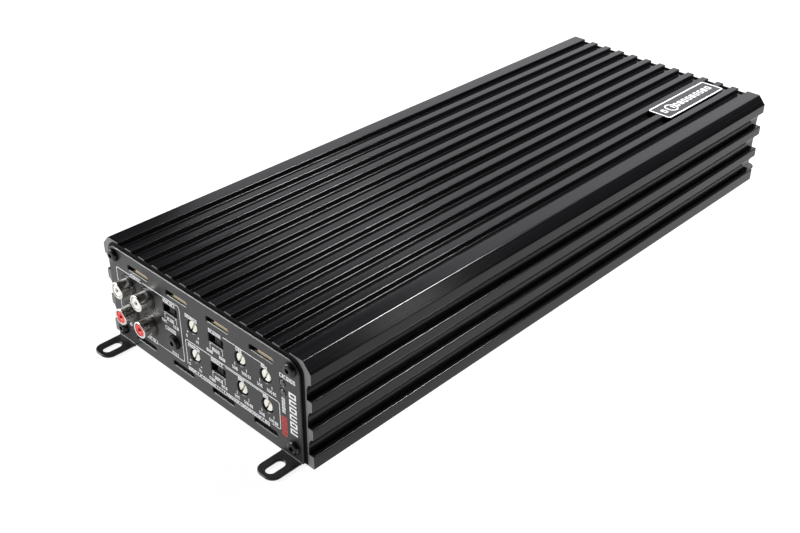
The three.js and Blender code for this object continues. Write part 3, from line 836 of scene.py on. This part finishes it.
def edge_band_sheet(name):
    """A thin near-black sheet between the control panel and the case, 1.3 mm wider than the panel all round,
    so that it shows as a dark band round the panel.
    """
    proud = 1.3 * MM
    thick = 0.26 * MM
    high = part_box("front_panel")[1]
    half, top, bottom = high.x + proud, high.z + proud, CASE_LOW.z + 0.4 * MM
    rim = rounded_rectangle(-half, half, bottom, top, 0.5 * MM, 7 * MM, 8)
    inner = rounded_box(0, (top + bottom) / 2, 2 * (half - 9 * MM), top - bottom - 13 * MM, 3 * MM, 5)
    place = upright(CASE_LOW.y - thick / 2 - 0.02 * MM)
    sheet = cut_sheet([rim, inner, *screw_holes(SCREW_HOLE)], thick, 0.05 * MM, place)
    piece(name, sheet, CHASSIS, ["band_black"])


class AMPLIFIER_OT_panels(bpy.types.Operator):
    """Fold the two coated end panels with their feet, set a thin dark sheet behind the control panel and lay
    the bottom cover
    """

    bl_idname = "amplifier.panels"
    bl_label = "End panels and cover"

    def execute(self, context):
        end_panel("front_panel", "control_panel", -1, control_openings())
        end_panel("rear_panel", "terminal_panel", 1, terminal_openings())
        # A thin near-black sheet behind the control panel, showing as a dark band round it.
        edge_band_sheet("control_panel_edge_band")
        eased("bottom_cover", 0.2 * MM, "coating", name="base_cover")
        return {"FINISHED"}


# ---------------------------------------------------------------- screws


def hex_socket_head(radius, height, socket, depth):
    """A button head facing -Y from y = 0, with a six-sided socket."""
    bm = bmesh.new()
    sides = 24
    bmesh.ops.create_circle(bm, segments=6, radius=socket)
    bmesh.ops.subdivide_edges(bm, edges=bm.edges[:], cuts=sides // 6 - 1)
    lip = bm.edges[:]
    bmesh.ops.create_circle(bm, segments=sides, radius=socket * 1.25)
    rim = [e for e in bm.edges if e not in lip]
    bmesh.ops.bridge_loops(bm, edges=lip + rim)
    bmesh.ops.contextual_create(bm, geom=drawn_out(bm, lip, (0, 0, -depth)))
    for share, fall in ((0.72, 0.04), (0.88, 0.2), (0.97, 0.45), (1.0, 0.72), (1.0, 1.0)):
        rim = drawn_out(bm, rim, (0, 0, 0))
        for vert in {vert for edge in rim for vert in edge.verts}:
            flat = Vector((vert.co.x, vert.co.y)).normalized() * radius * share
            vert.co = (flat.x, flat.y, -height * fall)
    bmesh.ops.contextual_create(bm, geom=rim)
    bmesh.ops.recalc_face_normals(bm, faces=bm.faces)
    return moved(bm, Matrix.Translation((0, -height, 0)) @ Matrix.Rotation(math.pi / 2, 4, "X"))


class AMPLIFIER_OT_screws(bpy.types.Operator):
    """Set the eight button-head screws in the end panels"""

    bl_idname = "amplifier.screws"
    bl_label = "Panel screws"

    def execute(self, context):
        draw = random.Random(7)
        shank = [(0, -0.2 * MM), (1.7 * MM, -0.2 * MM), (1.7 * MM, 11 * MM), (0, 12 * MM)]
        for end, face_y, about in (("front", PANEL_FACE_Y, 0), ("rear", -PANEL_FACE_Y, math.pi)):
            for node in screw_nodes(end):
                spot = centre(node)
                screw = joined(hex_socket_head(3.3 * MM, 2 * MM, 1.25 * MM, 1.2 * MM), turned(shank, 24))
                place = Matrix.Translation((spot.x, face_y, spot.z)) @ Matrix.Rotation(about, 4, "Z")
                turn = Matrix.Rotation(draw.uniform(0, 1), 4, "Y")
                stand_in(node, moved(screw, place @ turn), ["screw"])
        return {"FINISHED"}


# ---------------------------------------------------------------- input jacks


class AMPLIFIER_OT_jacks(bpy.types.Operator):
    """Turn the phono sockets' shells, inserts and collars"""

    bl_idname = "amplifier.jacks"
    bl_label = "Input jacks"

    def execute(self, context):
        collars = []
        for channel in CHANNELS:
            for flank, key in zip(FLANKS, ("white", "red")):
                name = f"{channel}_{flank}_jack"
                low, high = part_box(f"{name}_shell")
                place = axis_of(f"{name}_shell")
                self.shell(name, low.y, high.y, place)
                self.insert(name, low.y, high.y, key, place)
                collars.append(self.collar(PANEL_FACE_Y, place))
        block = joined(cad_copy("jack_housing", 0.25 * MM), *collars)
        stand_in("jack_housing", block, ["black"], name="jack_block")
        return {"FINISHED"}

    def shell(self, name, face, back, place):
        """The plated barrel: a rolled lip, a plain barrel and a step at its foot."""
        outer, inner, foot = 4.15 * MM, 3.05 * MM, 4.25 * MM
        profile = [
            (inner, face + 0.4 * MM), (inner + 0.12 * MM, face + 0.14 * MM),
            (inner + 0.35 * MM, face + 0.02 * MM), (outer - 0.5 * MM, face),
            (outer - 0.22 * MM, face + 0.09 * MM), (outer - 0.05 * MM, face + 0.28 * MM),
            (outer, face + 0.5 * MM), (outer, face + 4.9 * MM), (foot, face + 5.1 * MM), (foot, back),
            (inner, back),
        ]
        stand_in(f"{name}_shell", turned(profile, 64, place), ["nickel"])

    def insert(self, name, face, back, key, place):
        """The coloured insulator with its contact well."""
        outer, well, floor = 2.98 * MM, 1.05 * MM, 9 * MM
        front, end = face + 0.3 * MM, back - 1 * MM
        profile = [
            (0, front + floor), (well, front + floor), (well, front + 0.3 * MM),
            (well + 0.25 * MM, front + 0.02 * MM), (outer - 0.3 * MM, front), (outer, front + 0.2 * MM),
            (outer, end), (0, end),
        ]
        cup = painted(turned(profile, 48, place), 0)
        bore, rim, tip, root = 0.92 * MM, 1.02 * MM, front + 0.8 * MM, front + 8.9 * MM
        sleeve = painted(turned([(bore, tip), (rim, tip), (rim, root), (bore, root)], 32, place), 1)
        stand_in(f"{name}_insert", joined(cup, sleeve), [key, "brass"])

    def collar(self, face, place):
        """The moulded ring round a barrel, nearly flush with the panel."""
        inner, outer, root = 4.4 * MM, 5.1 * MM, face + 0.9 * MM
        profile = [(inner, root), (inner, face - 0.1 * MM), (4.6 * MM, face - 0.35 * MM),
                   (4.9 * MM, face - 0.35 * MM), (outer, face - 0.15 * MM), (outer, root)]
        return turned(profile, 64, place)


# ---------------------------------------------------------------- trimmers and switches


SLOT_ANGLE = math.radians(62)


class AMPLIFIER_OT_controls(bpy.types.Operator):
    """Make the slotted trimmer shafts, the slide switches, the remote jack and the lamps"""

    bl_idname = "amplifier.controls"
    bl_label = "Controls"

    def execute(self, context):
        for channel in CHANNELS:
            for use in USES:
                self.trimmer(f"{channel}_{use}_pot")
        for name in SWITCHES:
            self.switch(name)
        self.remote_jack()
        for name in LAMPS:
            self.lamp(name)
        eased("insulating_card", 0.08 * MM, "card", name="vent_card", segments=1)
        return {"FINISHED"}

    def trimmer(self, name):
        """A shaft whose face is split by a screwdriver slot, and the body that it turns in."""
        low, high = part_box(f"{name}_shaft")
        spot = centre(f"{name}_shaft")
        radius, half_slot, slot_depth = (high.x - low.x) / 2, 0.42 * MM, 1.2 * MM
        bm = bmesh.new()
        bmesh.ops.create_circle(bm, cap_ends=True, segments=56, radius=radius)
        for side in (-1, 1):
            bmesh.ops.bisect_plane(bm, geom=bm.verts[:] + bm.edges[:] + bm.faces[:], dist=1e-7,
                                   plane_co=(0, side * half_slot, 0), plane_no=(0, side, 0))
        lands = [face for face in bm.faces if abs(face.calc_center_median().y) > half_slot]
        raised = bmesh.ops.extrude_face_region(bm, geom=lands)["geom"]
        tops = [item for item in raised if isinstance(item, bmesh.types.BMVert)]
        bmesh.ops.translate(bm, vec=(0, 0, slot_depth), verts=tops)
        bmesh.ops.delete(bm, geom=[face for face in lands if face.is_valid], context="FACES_ONLY")
        foot = drawn_out(bm, [e for e in bm.edges if e.is_boundary], (0, 0, slot_depth - (high.y - low.y)))
        bmesh.ops.contextual_create(bm, geom=foot)
        bmesh.ops.recalc_face_normals(bm, faces=bm.faces)
        bevelled(bm, 0.12 * MM, 2, math.radians(50))
        place = Matrix.Translation((spot.x, low.y + slot_depth, spot.z))
        turn = Matrix.Rotation(-SLOT_ANGLE, 4, "Y") @ Matrix.Rotation(math.pi / 2, 4, "X")
        stand_in(f"{name}_shaft", moved(bm, place @ turn), ["ivory"], f"{name}_shaft")
        eased(f"{name}_body", 0.2 * MM, "black")

    def switch(self, name):
        """A slider with a grip of fine ridges, in its body."""
        slider = f"{name}_slider"
        low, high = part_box(slider)
        knob = brick(low + Vector((0, 0.25 * MM, 0)), high, 0.15 * MM)
        count, half_ridge, margin = 4, 0.25 * MM, 0.15 * MM
        ridges = []
        for i in range(count):
            x = low.x + (i + 0.5) * (high.x - low.x) / count
            ridges.append(brick((x - half_ridge, low.y, low.z + margin),
                                (x + half_ridge, low.y + 0.6 * MM, high.z - margin), 0.1 * MM))
        stand_in(slider, joined(knob, *ridges), ["slider"], slider)
        eased(f"{name}_body", 0.2 * MM, "dark")

    def remote_jack(self):
        """A round moulded jack that stands a little proud of the panel."""
        node = "remote_level_jack"
        low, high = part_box(node)
        outer, bore, face = 3.2 * MM, 1.2 * MM, low.y
        profile = [
            (bore, face + 10 * MM), (bore, face + 0.2 * MM), (bore + 0.1 * MM, face + 0.04 * MM),
            (outer - 0.6 * MM, face), (outer - 0.15 * MM, face + 0.12 * MM), (outer, face + 0.5 * MM),
            (outer, face + 3 * MM), (outer, face + 11 * MM),
        ]
        body = brick((low.x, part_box("front_gain_pot_body")[0].y, low.z), high, 0.3 * MM)
        jack = joined(turned(profile, 56, axis_of(node)), body)
        stand_in(node, jack, ["black"], name="remote_jack_finished")

    def lamp(self, name):
        """A small domed lamp in its hole."""
        low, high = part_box(name)
        radius, flange, dome_height, steps = 1.5 * MM, 1.7 * MM, 0.9 * MM, 7
        profile = [(0, low.y)]
        for i in range(1, steps + 1):
            angle = math.radians(90 * i / steps)
            profile.append((radius * math.sin(angle), low.y + dome_height * (1 - math.cos(angle))))
        profile += [(radius, high.y - 0.8 * MM), (flange, high.y - 0.7 * MM), (flange, high.y), (0, high.y)]
        stand_in(name, turned(profile, 36, axis_of(name)), ["lens"])


# ---------------------------------------------------------------- print


INK_WIDTH = 0.4 * MM
INK_PROUD = 0.05 * MM


def mark_brick(left, right, bottom, top):
    return brick((left, PANEL_FACE_Y - INK_PROUD, bottom), (right, PANEL_FACE_Y + INK_PROUD, top))


def open_box(left, right, bottom, top, pen, closed):
    """Three printed sides of a plain box, and its right side too if it is closed."""
    sides = [mark_brick(left, right, bottom, bottom + pen), mark_brick(left, right, top - pen, top),
             mark_brick(left, left + pen, bottom + pen, top - pen)]
    if closed:
        sides.append(mark_brick(right - pen, right, bottom + pen, top - pen))
    return sides


def marks(left, right, z, height, draw, pen=0.36 * MM):
    """A row of plain marks, bars and open boxes, in X and Z on the control panel."""
    blocks = []
    bottom, top = z - height / 2, z + height / 2
    bar = 0.5 * MM
    x = left
    while x < right - 0.4 * MM:
        kind = draw.choice(("bar", "box", "box", "pair"))
        end = min(x + (bar if kind == "bar" else 0.62 * height), right)
        if kind == "bar" or end - x < 2.5 * pen:
            blocks.append(mark_brick(x, min(x + bar, end), bottom, top))
        else:
            blocks += open_box(x, end, bottom, top, pen, kind == "box")
        x = end + 0.34 * MM
    return blocks


def number(text, x, z, height):
    """A printed number, centred on x and standing on z."""
    curve = bpy.data.curves.new("number", "FONT")
    curve.body = text
    curve.size = height / 0.69
    curve.align_x = "CENTER"
    curve.extrude = INK_PROUD
    curve.offset = 0.03 * MM
    return placed(curve_mesh(curve), Matrix.Translation((x, 0, z)) @ upright(PANEL_FACE_Y))


def rounded_frame(left, right, bottom, top, gaps):
    """A printed frame as open paths, broken where its top or bottom edge meets a gap."""
    rim = rounded_rectangle(left, right, bottom, top, 1.2 * MM, 1.2 * MM, 4)
    paths, path, dense = [], [], []
    for i, point in enumerate(rim):
        following = rim[(i + 1) % len(rim)]
        parts = max(1, int((following - point).length / (0.5 * MM)))
        dense += [point.lerp(following, part / parts) for part in range(parts)]
    dense.append(dense[0])
    for point in dense:
        hidden = any(low < point.x < high and abs(point.y - z) < 0.4 * MM for low, high, z in gaps)
        if hidden:
            if len(path) > 1:
                paths.append(path)
            path = []
        else:
            path.append(point)
    if len(path) > 1:
        paths.append(path)
    return paths


SCALES = {"gain": ("0", "10"), "high_pass": ("50", "500"), "low_pass": ("50", "500")}


class AMPLIFIER_OT_print(bpy.types.Operator):
    """Print the control panel's frames, scales and plain marks"""

    bl_idname = "amplifier.print"
    bl_label = "Panel print"

    def execute(self, context):
        draw = random.Random(12)
        parts = self.captions(draw)
        paths = self.frames()
        for name in SWITCHES:
            parts += self.switch_scale(centre(f"{name}_body"), paths, draw)
        for channel in CHANNELS:
            for use, numbers in SCALES.items():
                parts += self.trimmer_scale(centre(f"{channel}_{use}_pot_shaft"), use, numbers, paths, draw)
        strokes = stroke(paths, INK_WIDTH, INK_PROUD, PANEL_FACE_Y)
        piece("panel_print", joined(strokes, *parts), CHASSIS, ["ink"])
        warm = self.column(54.6 * MM, 9.6 * MM, 20.2 * MM, 3.4 * MM, 5, 0.62 * MM)
        piece("panel_print_red", joined(*warm), CHASSIS, ["warm_ink"])
        return {"FINISHED"}

    def frames(self):
        """The two printed frames and the lines that lead to the outer trimmers."""
        input_gaps = [(-48.4 * MM, -39.6 * MM, 41.2 * MM), (-41 * MM, -32 * MM, 11.6 * MM),
                      (-55 * MM, -51.5 * MM, 11.6 * MM)]
        paths = rounded_frame(-59.3 * MM, -12.6 * MM, 11.6 * MM, 41.2 * MM, input_gaps)
        rear_gaps = [(-10.2 * MM, 46.4 * MM, 11.5 * MM)]
        paths += rounded_frame(-10.2 * MM, 51.9 * MM, 11.5 * MM, 25.8 * MM, rear_gaps)
        for z in (40.5 * MM, 25 * MM):
            paths.append([(17.4 * MM, z), (43.6 * MM, z), (44.3 * MM, z - 0.7 * MM)])
        return paths

    def captions(self, draw):
        """The rows of marks that stand apart from the scales."""
        rows = (
            (-47.9, -40, 41.4, 2.0), (-40.5, -32.4, 12, 2.1), (-54.5, -52, 12, 1.9), (-24.6, -16.7, 25, 2.0),
            (-21.4, -15.9, 12.9, 1.3), (-10, 45.5, 10.2, 2.0), (53.1, 62.7, 41.1, 2.0),
        )
        parts = []
        for left, right, z, height in rows:
            parts += marks(left * MM, right * MM, z * MM, height * MM, draw)
        parts += self.column(54.6 * MM, 21.9 * MM, 30.1 * MM, 2.0 * MM, 5, 0.42 * MM)
        parts += self.column(60.3 * MM, 13.2 * MM, 35.6 * MM, 4.3 * MM, 6, 0.85 * MM)
        return parts

    def switch_scale(self, spot, paths, draw):
        """A bracket under a switch with a row of marks in it, one at each end and one above."""
        x, z = spot.x, spot.z
        rows = ((-4.4, 3.9, 4.0, 1.9), (-2.8, 2.5, -5.1, 1.8), (-6.8, -2.6, -7.3, 1.6), (1.6, 5.6, -7.3, 1.6))
        parts = []
        for left, right, drop, height in rows:
            parts += marks(x + left * MM, x + right * MM, z + drop * MM, height * MM, draw)
        for side in (-1, 1):
            edge = x + side * 4.2 * MM
            inner = x + side * 3.3 * MM
            paths.append([(inner, z - 3.1 * MM), (edge, z - 3.1 * MM), (edge, z - 5.6 * MM)])
        return parts

    def trimmer_scale(self, spot, use, numbers, paths, draw):
        """Marks over a trimmer, and the ends of its scale under it."""
        x, z = spot.x, spot.z
        gain = use == "gain"
        low, high = numbers
        parts = marks(x - (4.5 if gain else 2.3) * MM, x + (3.6 if gain else 1.6) * MM, z + 4.4 * MM,
                      (1.9 if gain else 1.6) * MM, draw)
        base = z - 7.3 * MM
        parts.append(number(low, x - 4.6 * MM, base, 1.6 * MM))
        parts.append(number(high, x + (2.6 if gain else 2.2) * MM, base, 1.6 * MM))
        if not gain:
            parts += marks(x - 3.2 * MM, x - 1.9 * MM, base + 0.8 * MM, 1.6 * MM, draw)
            parts += marks(x + 4.4 * MM, x + 6.3 * MM, base + 0.8 * MM, 1.6 * MM, draw)
        for side in (-1, 1):
            tick = x + side * 3.8 * MM
            if gain:
                dot = rounded_box(tick, z - 4.1 * MM, 0.9 * MM, 0.9 * MM, 0.44 * MM, 3)
                parts.append(cut_sheet([dot], 2 * INK_PROUD, 0.01 * MM, upright(PANEL_FACE_Y)))
            else:
                paths.append([(tick, z - 3.3 * MM), (tick, z - 5 * MM)])
        return parts

    def column(self, x, bottom, top, width, count, pen):
        """A column of plain open boxes."""
        boxes = []
        pitch = (top - bottom) / count
        left, right = x - width / 2, x + width / 2
        for i in range(count):
            low, high = bottom + (i + 0.12) * pitch, bottom + (i + 0.88) * pitch
            boxes += open_box(left, right, low, high, pen, i % 2)
        return boxes


# ---------------------------------------------------------------- badge


class AMPLIFIER_OT_badge(bpy.types.Operator):
    """Make the badge on the ribs, with a white border, a ring and a row of plain open boxes"""

    bl_idname = "amplifier.badge"
    bl_label = "Badge"

    def execute(self, context):
        low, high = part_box("badge")
        x, y = centre("badge").xy
        width, run = high.x - low.x, high.y - low.y
        plate = cut_sheet([rounded_box(x, y, width, run, 2 * MM, 6)], high.z - low.z, 0.1 * MM,
                          Matrix.Translation((0, 0, (low.z + high.z) / 2)))
        stand_in("badge", plate, ["badge"], name="badge_plate")
        shapes = [
            [rounded_box(x, y, width - 0.5 * MM, run - 0.5 * MM, 1.8 * MM, 6),
             rounded_box(x, y, width - 2.3 * MM, run - 2.3 * MM, 1.0 * MM, 6)],
            *self.ring_and_boxes(x, y),
        ]
        lift = Matrix.Translation((0, 0, high.z))
        printed = [cut_sheet(shape, 0.1 * MM, 0.02 * MM, lift) for shape in shapes]
        piece("badge_print", joined(*printed), CHASSIS, ["ink"])
        return {"FINISHED"}

    def ring_and_boxes(self, x, middle):
        """A ring in a row of boxes along Y, with a flat box where the ring is."""
        count, pitch = 12, 4.2 * MM
        ring_y = middle - 16 * MM
        shapes = [[ring(x, ring_y, 4 * MM), ring(x, ring_y, 3.1 * MM)]]
        for i in range(count):
            y = middle + (i - (count - 1) / 2) * pitch
            if abs(y - ring_y) < 3.2 * MM:
                shapes.append([rounded_box(x, y, 3.2 * MM, 1 * MM, 0.4 * MM, 4)])
                continue
            box = [rounded_box(x, y, 4.2 * MM, 2.9 * MM, 0.7 * MM, 4)]
            if i % 3 != 1:
                box.append(rounded_box(x, y, 2.6 * MM, 1.4 * MM, 0.3 * MM, 3))
            shapes.append(box)
        return shapes


# ---------------------------------------------------------------- terminals


class AMPLIFIER_OT_terminals(bpy.types.Operator):
    """Finish the power block, its clamp screws and fuses, and the speaker connector"""

    bl_idname = "amplifier.terminals"
    bl_label = "Terminals"

    def execute(self, context):
        eased("power_block", 0.3 * MM, "black")
        for name in ("ground", "remote", "battery"):
            self.clamp_screw(f"{name}_clamp_screw")
        for i in (1, 2):
            self.fuse(f"blade_fuse_{i}")
        eased("speaker_socket", 0.2 * MM, "black")
        self.speaker_plug("speaker_plug")
        return {"FINISHED"}

    def clamp_screw(self, node):
        """A screw whose head faces up, with a six-sided socket."""
        low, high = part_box(node)
        spot = centre(node)
        head = hex_socket_head((high.x - low.x) / 2, high.z - low.z, 1.45 * MM, 2.5 * MM)
        place = Matrix.Translation((spot.x, spot.y, low.z)) @ Matrix.Rotation(-math.pi / 2, 4, "X")
        stand_in(node, moved(head, place), ["nickel"], node)

    def fuse(self, node):
        """An amber body with its rating on its end, over two flat blades."""
        low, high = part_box(node)
        spot = centre(node)
        body_low = high.y - 12.2 * MM
        parts = [painted(brick((low.x, body_low, low.z), high, 0.5 * MM, 3), 0)]
        half_thick, half_wide = 0.4 * MM, 2.6 * MM
        for z in (spot.z - 6 * MM, spot.z + 6 * MM):
            blade = brick((spot.x - half_thick, low.y, z - half_wide),
                          (spot.x + half_thick, body_low + 1 * MM, z + half_wide), 0.15 * MM)
            parts.append(painted(blade, 1))
        parts.append(painted(self.rating(Matrix.Translation((spot.x, high.y, spot.z))), 2))
        stand_in(node, joined(*parts), ["amber", "nickel", "ink"], node)

    def rating(self, place):
        """The number on a fuse's end."""
        mark = bpy.data.curves.new("rating", "FONT")
        mark.body = "25"
        mark.size = 5 * MM
        mark.align_x = "CENTER"
        mark.align_y = "CENTER"
        mark.extrude = 0.08 * MM
        turn = Matrix.Rotation(math.pi / 2, 4, "Y") @ Matrix.Rotation(-math.pi / 2, 4, "X")
        return placed(curve_mesh(mark), place @ turn)

    def speaker_plug(self, node):
        """The green plug with a clamp screw over each wire entry."""
        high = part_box(node)[1]
        count, pitch = 8, 5 * MM
        profile = [(0, -0.6 * MM), (1.0 * MM, -0.6 * MM), (1.5 * MM, -0.3 * MM), (1.5 * MM, 0.5 * MM),
                   (0, 0.5 * MM)]
        parts = [painted(cad_copy(node, 0.2 * MM), 0)]
        for i in range(count):
            x = centre(node).x + (i - (count - 1) / 2) * pitch
            place = Matrix.Translation((x, high.y - 5 * MM, high.z)) @ Matrix.Rotation(-math.pi / 2, 4, "X")
            parts.append(painted(turned(profile, 24, place), 1))
        stand_in(node, joined(*parts), ["green", "nickel"], node)


class AMPLIFIER_OT_inside(bpy.types.Operator):
    """Finish the boards and the parts that stand on them"""

    bl_idname = "amplifier.inside"
    bl_label = "Inner parts"

    def execute(self, context):
        for node, key in (("main_board", "board"), ("control_board", "board"), ("transformer", "winding"),
                          ("output_choke", "winding"), ("reservoir_capacitor_1", "sleeve"),
                          ("reservoir_capacitor_2", "sleeve"), ("transistor_clamp_left", "aluminium"),
                          ("transistor_clamp_right", "aluminium")):
            repaint(node, key)
        return {"FINISHED"}


# ---------------------------------------------------------------- stage


def softbox(name, place, target, width, height, power, tint=(1, 1, 1)):
    light = bpy.data.lights.new(name, "AREA")
    light.shape = "RECTANGLE"
    light.size = width
    light.size_y = height
    light.energy = power
    light.color = tint
    obj = bpy.data.objects.new(name, light)
    obj.location = place
    obj.rotation_euler = (Vector(target) - Vector(place)).to_track_quat("-Z", "Y").to_euler()
    bpy.context.scene.collection.objects.link(obj)


class AMPLIFIER_OT_stage(bpy.types.Operator):
    """Lay the pale floor, hang the soft lights and set the camera"""

    bl_idname = "amplifier.stage"
    bl_label = "Stage"

    def execute(self, context):
        self.floor()
        self.lights(context.scene)
        self.camera(context.scene, context.scene.amplifier.stage)
        context.scene.view_settings.view_transform = "Standard"
        return {"FINISHED"}

    def floor(self):
        bm = bmesh.new()
        bmesh.ops.create_circle(bm, cap_ends=True, segments=64, radius=12)
        mesh = bpy.data.meshes.new("studio_floor")
        bm.to_mesh(mesh)
        bm.free()
        finish = Finish("studio_floor", roughness=0.9)
        cloud = finish.noise(0.8, detail=2)
        finish.tint((0.17, 0.17, 0.17, 1), (0.19, 0.19, 0.19, 1), cloud)
        finish.shader.inputs["Emission Color"].default_value = (1, 1, 1, 1)
        finish.shader.inputs["Emission Strength"].default_value = 0.88
        mesh.materials.append(finish.material)
        obj = bpy.data.objects.new("studio_floor", mesh)
        bpy.context.scene.collection.objects.link(obj)

    def lights(self, scene):
        world = bpy.data.worlds.new("studio")
        world.use_nodes = True
        background = world.node_tree.nodes["Background"]
        background.inputs["Color"].default_value = (0.92, 0.95, 1.0, 1)
        background.inputs["Strength"].default_value = 0.012
        scene.world = world
        softbox("left", (-1.25, -0.75, 0.42), (0, -0.1, 0), 0.9, 0.7, 9)
        softbox("front_left", (-0.89, -0.87, 0.7), (0, -0.18, 0.05), 0.38, 0.2, 14)
        softbox("back_left", (-0.62, 1.2, 0.56), (0, -0.05, 0.03), 1.7, 0.86, 7.4, (0.98, 0.95, 1))
        softbox("back_top", (0.21, 0.52, 0.9), (0.07, -0.12, 0.05), 0.18, 0.2, 20)
        softbox("back_right", (0.82, 0.6, 0.645), (0.067, -0.12, 0.051), 0.1, 0.1, 0.24)

    def camera(self, scene, stage):
        data = bpy.data.cameras.new("camera")
        data.lens = stage.lens
        data.sensor_width = 36
        data.clip_start = 0.01
        obj = bpy.data.objects.new("camera", data)
        across = math.cos(stage.elevation)
        back = Vector((math.sin(stage.azimuth) * across, -math.cos(stage.azimuth) * across,
                       math.sin(stage.elevation)))
        right = Vector((0, 0, 1)).cross(back).normalized()
        up = back.cross(right)
        lean_right = right * math.cos(stage.roll) + up * math.sin(stage.roll)
        lean_up = up * math.cos(stage.roll) - right * math.sin(stage.roll)
        turn = Matrix((lean_right, lean_up, back)).transposed()
        obj.matrix_world = Matrix.LocRotScale(Vector(stage.camera_place), turn.to_quaternion(), None)
        scene.collection.objects.link(obj)
        scene.camera = obj


# ---------------------------------------------------------------- add-on


BUILDERS = (
    AMPLIFIER_OT_case,
    AMPLIFIER_OT_panels,
    AMPLIFIER_OT_screws,
    AMPLIFIER_OT_jacks,
    AMPLIFIER_OT_controls,
    AMPLIFIER_OT_print,
    AMPLIFIER_OT_badge,
    AMPLIFIER_OT_terminals,
    AMPLIFIER_OT_inside,
    AMPLIFIER_OT_stage,
)


class AMPLIFIER_PT_panel(bpy.types.Panel):
    """Lists the amplifier's operators"""

    bl_idname = "AMPLIFIER_PT_panel"
    bl_label = "Car Amplifier"
    bl_space_type = "VIEW_3D"
    bl_region_type = "UI"
    bl_category = "Amplifier"

    def draw(self, context):
        for builder in BUILDERS:
            self.layout.operator(builder.bl_idname)


GROUPS = (CaseSettings, FinishSettings, StageSettings, AmplifierSettings)
CLASSES = (*GROUPS, *BUILDERS, AMPLIFIER_PT_panel)


def register():
    for cls in CLASSES:
        bpy.utils.register_class(cls)
    bpy.types.Scene.amplifier = PointerProperty(type=AmplifierSettings)


def unregister():
    del bpy.types.Scene.amplifier
    for cls in reversed(CLASSES):
        bpy.utils.unregister_class(cls)


def main():
    register()
    finishes.update(make_finishes(bpy.context.scene.amplifier))
    for builder in BUILDERS:
        family, name = builder.bl_idname.split(".")
        getattr(getattr(bpy.ops, family), name)()
    bpy.context.view_layer.update()


if __name__ == "__main__":
    main()
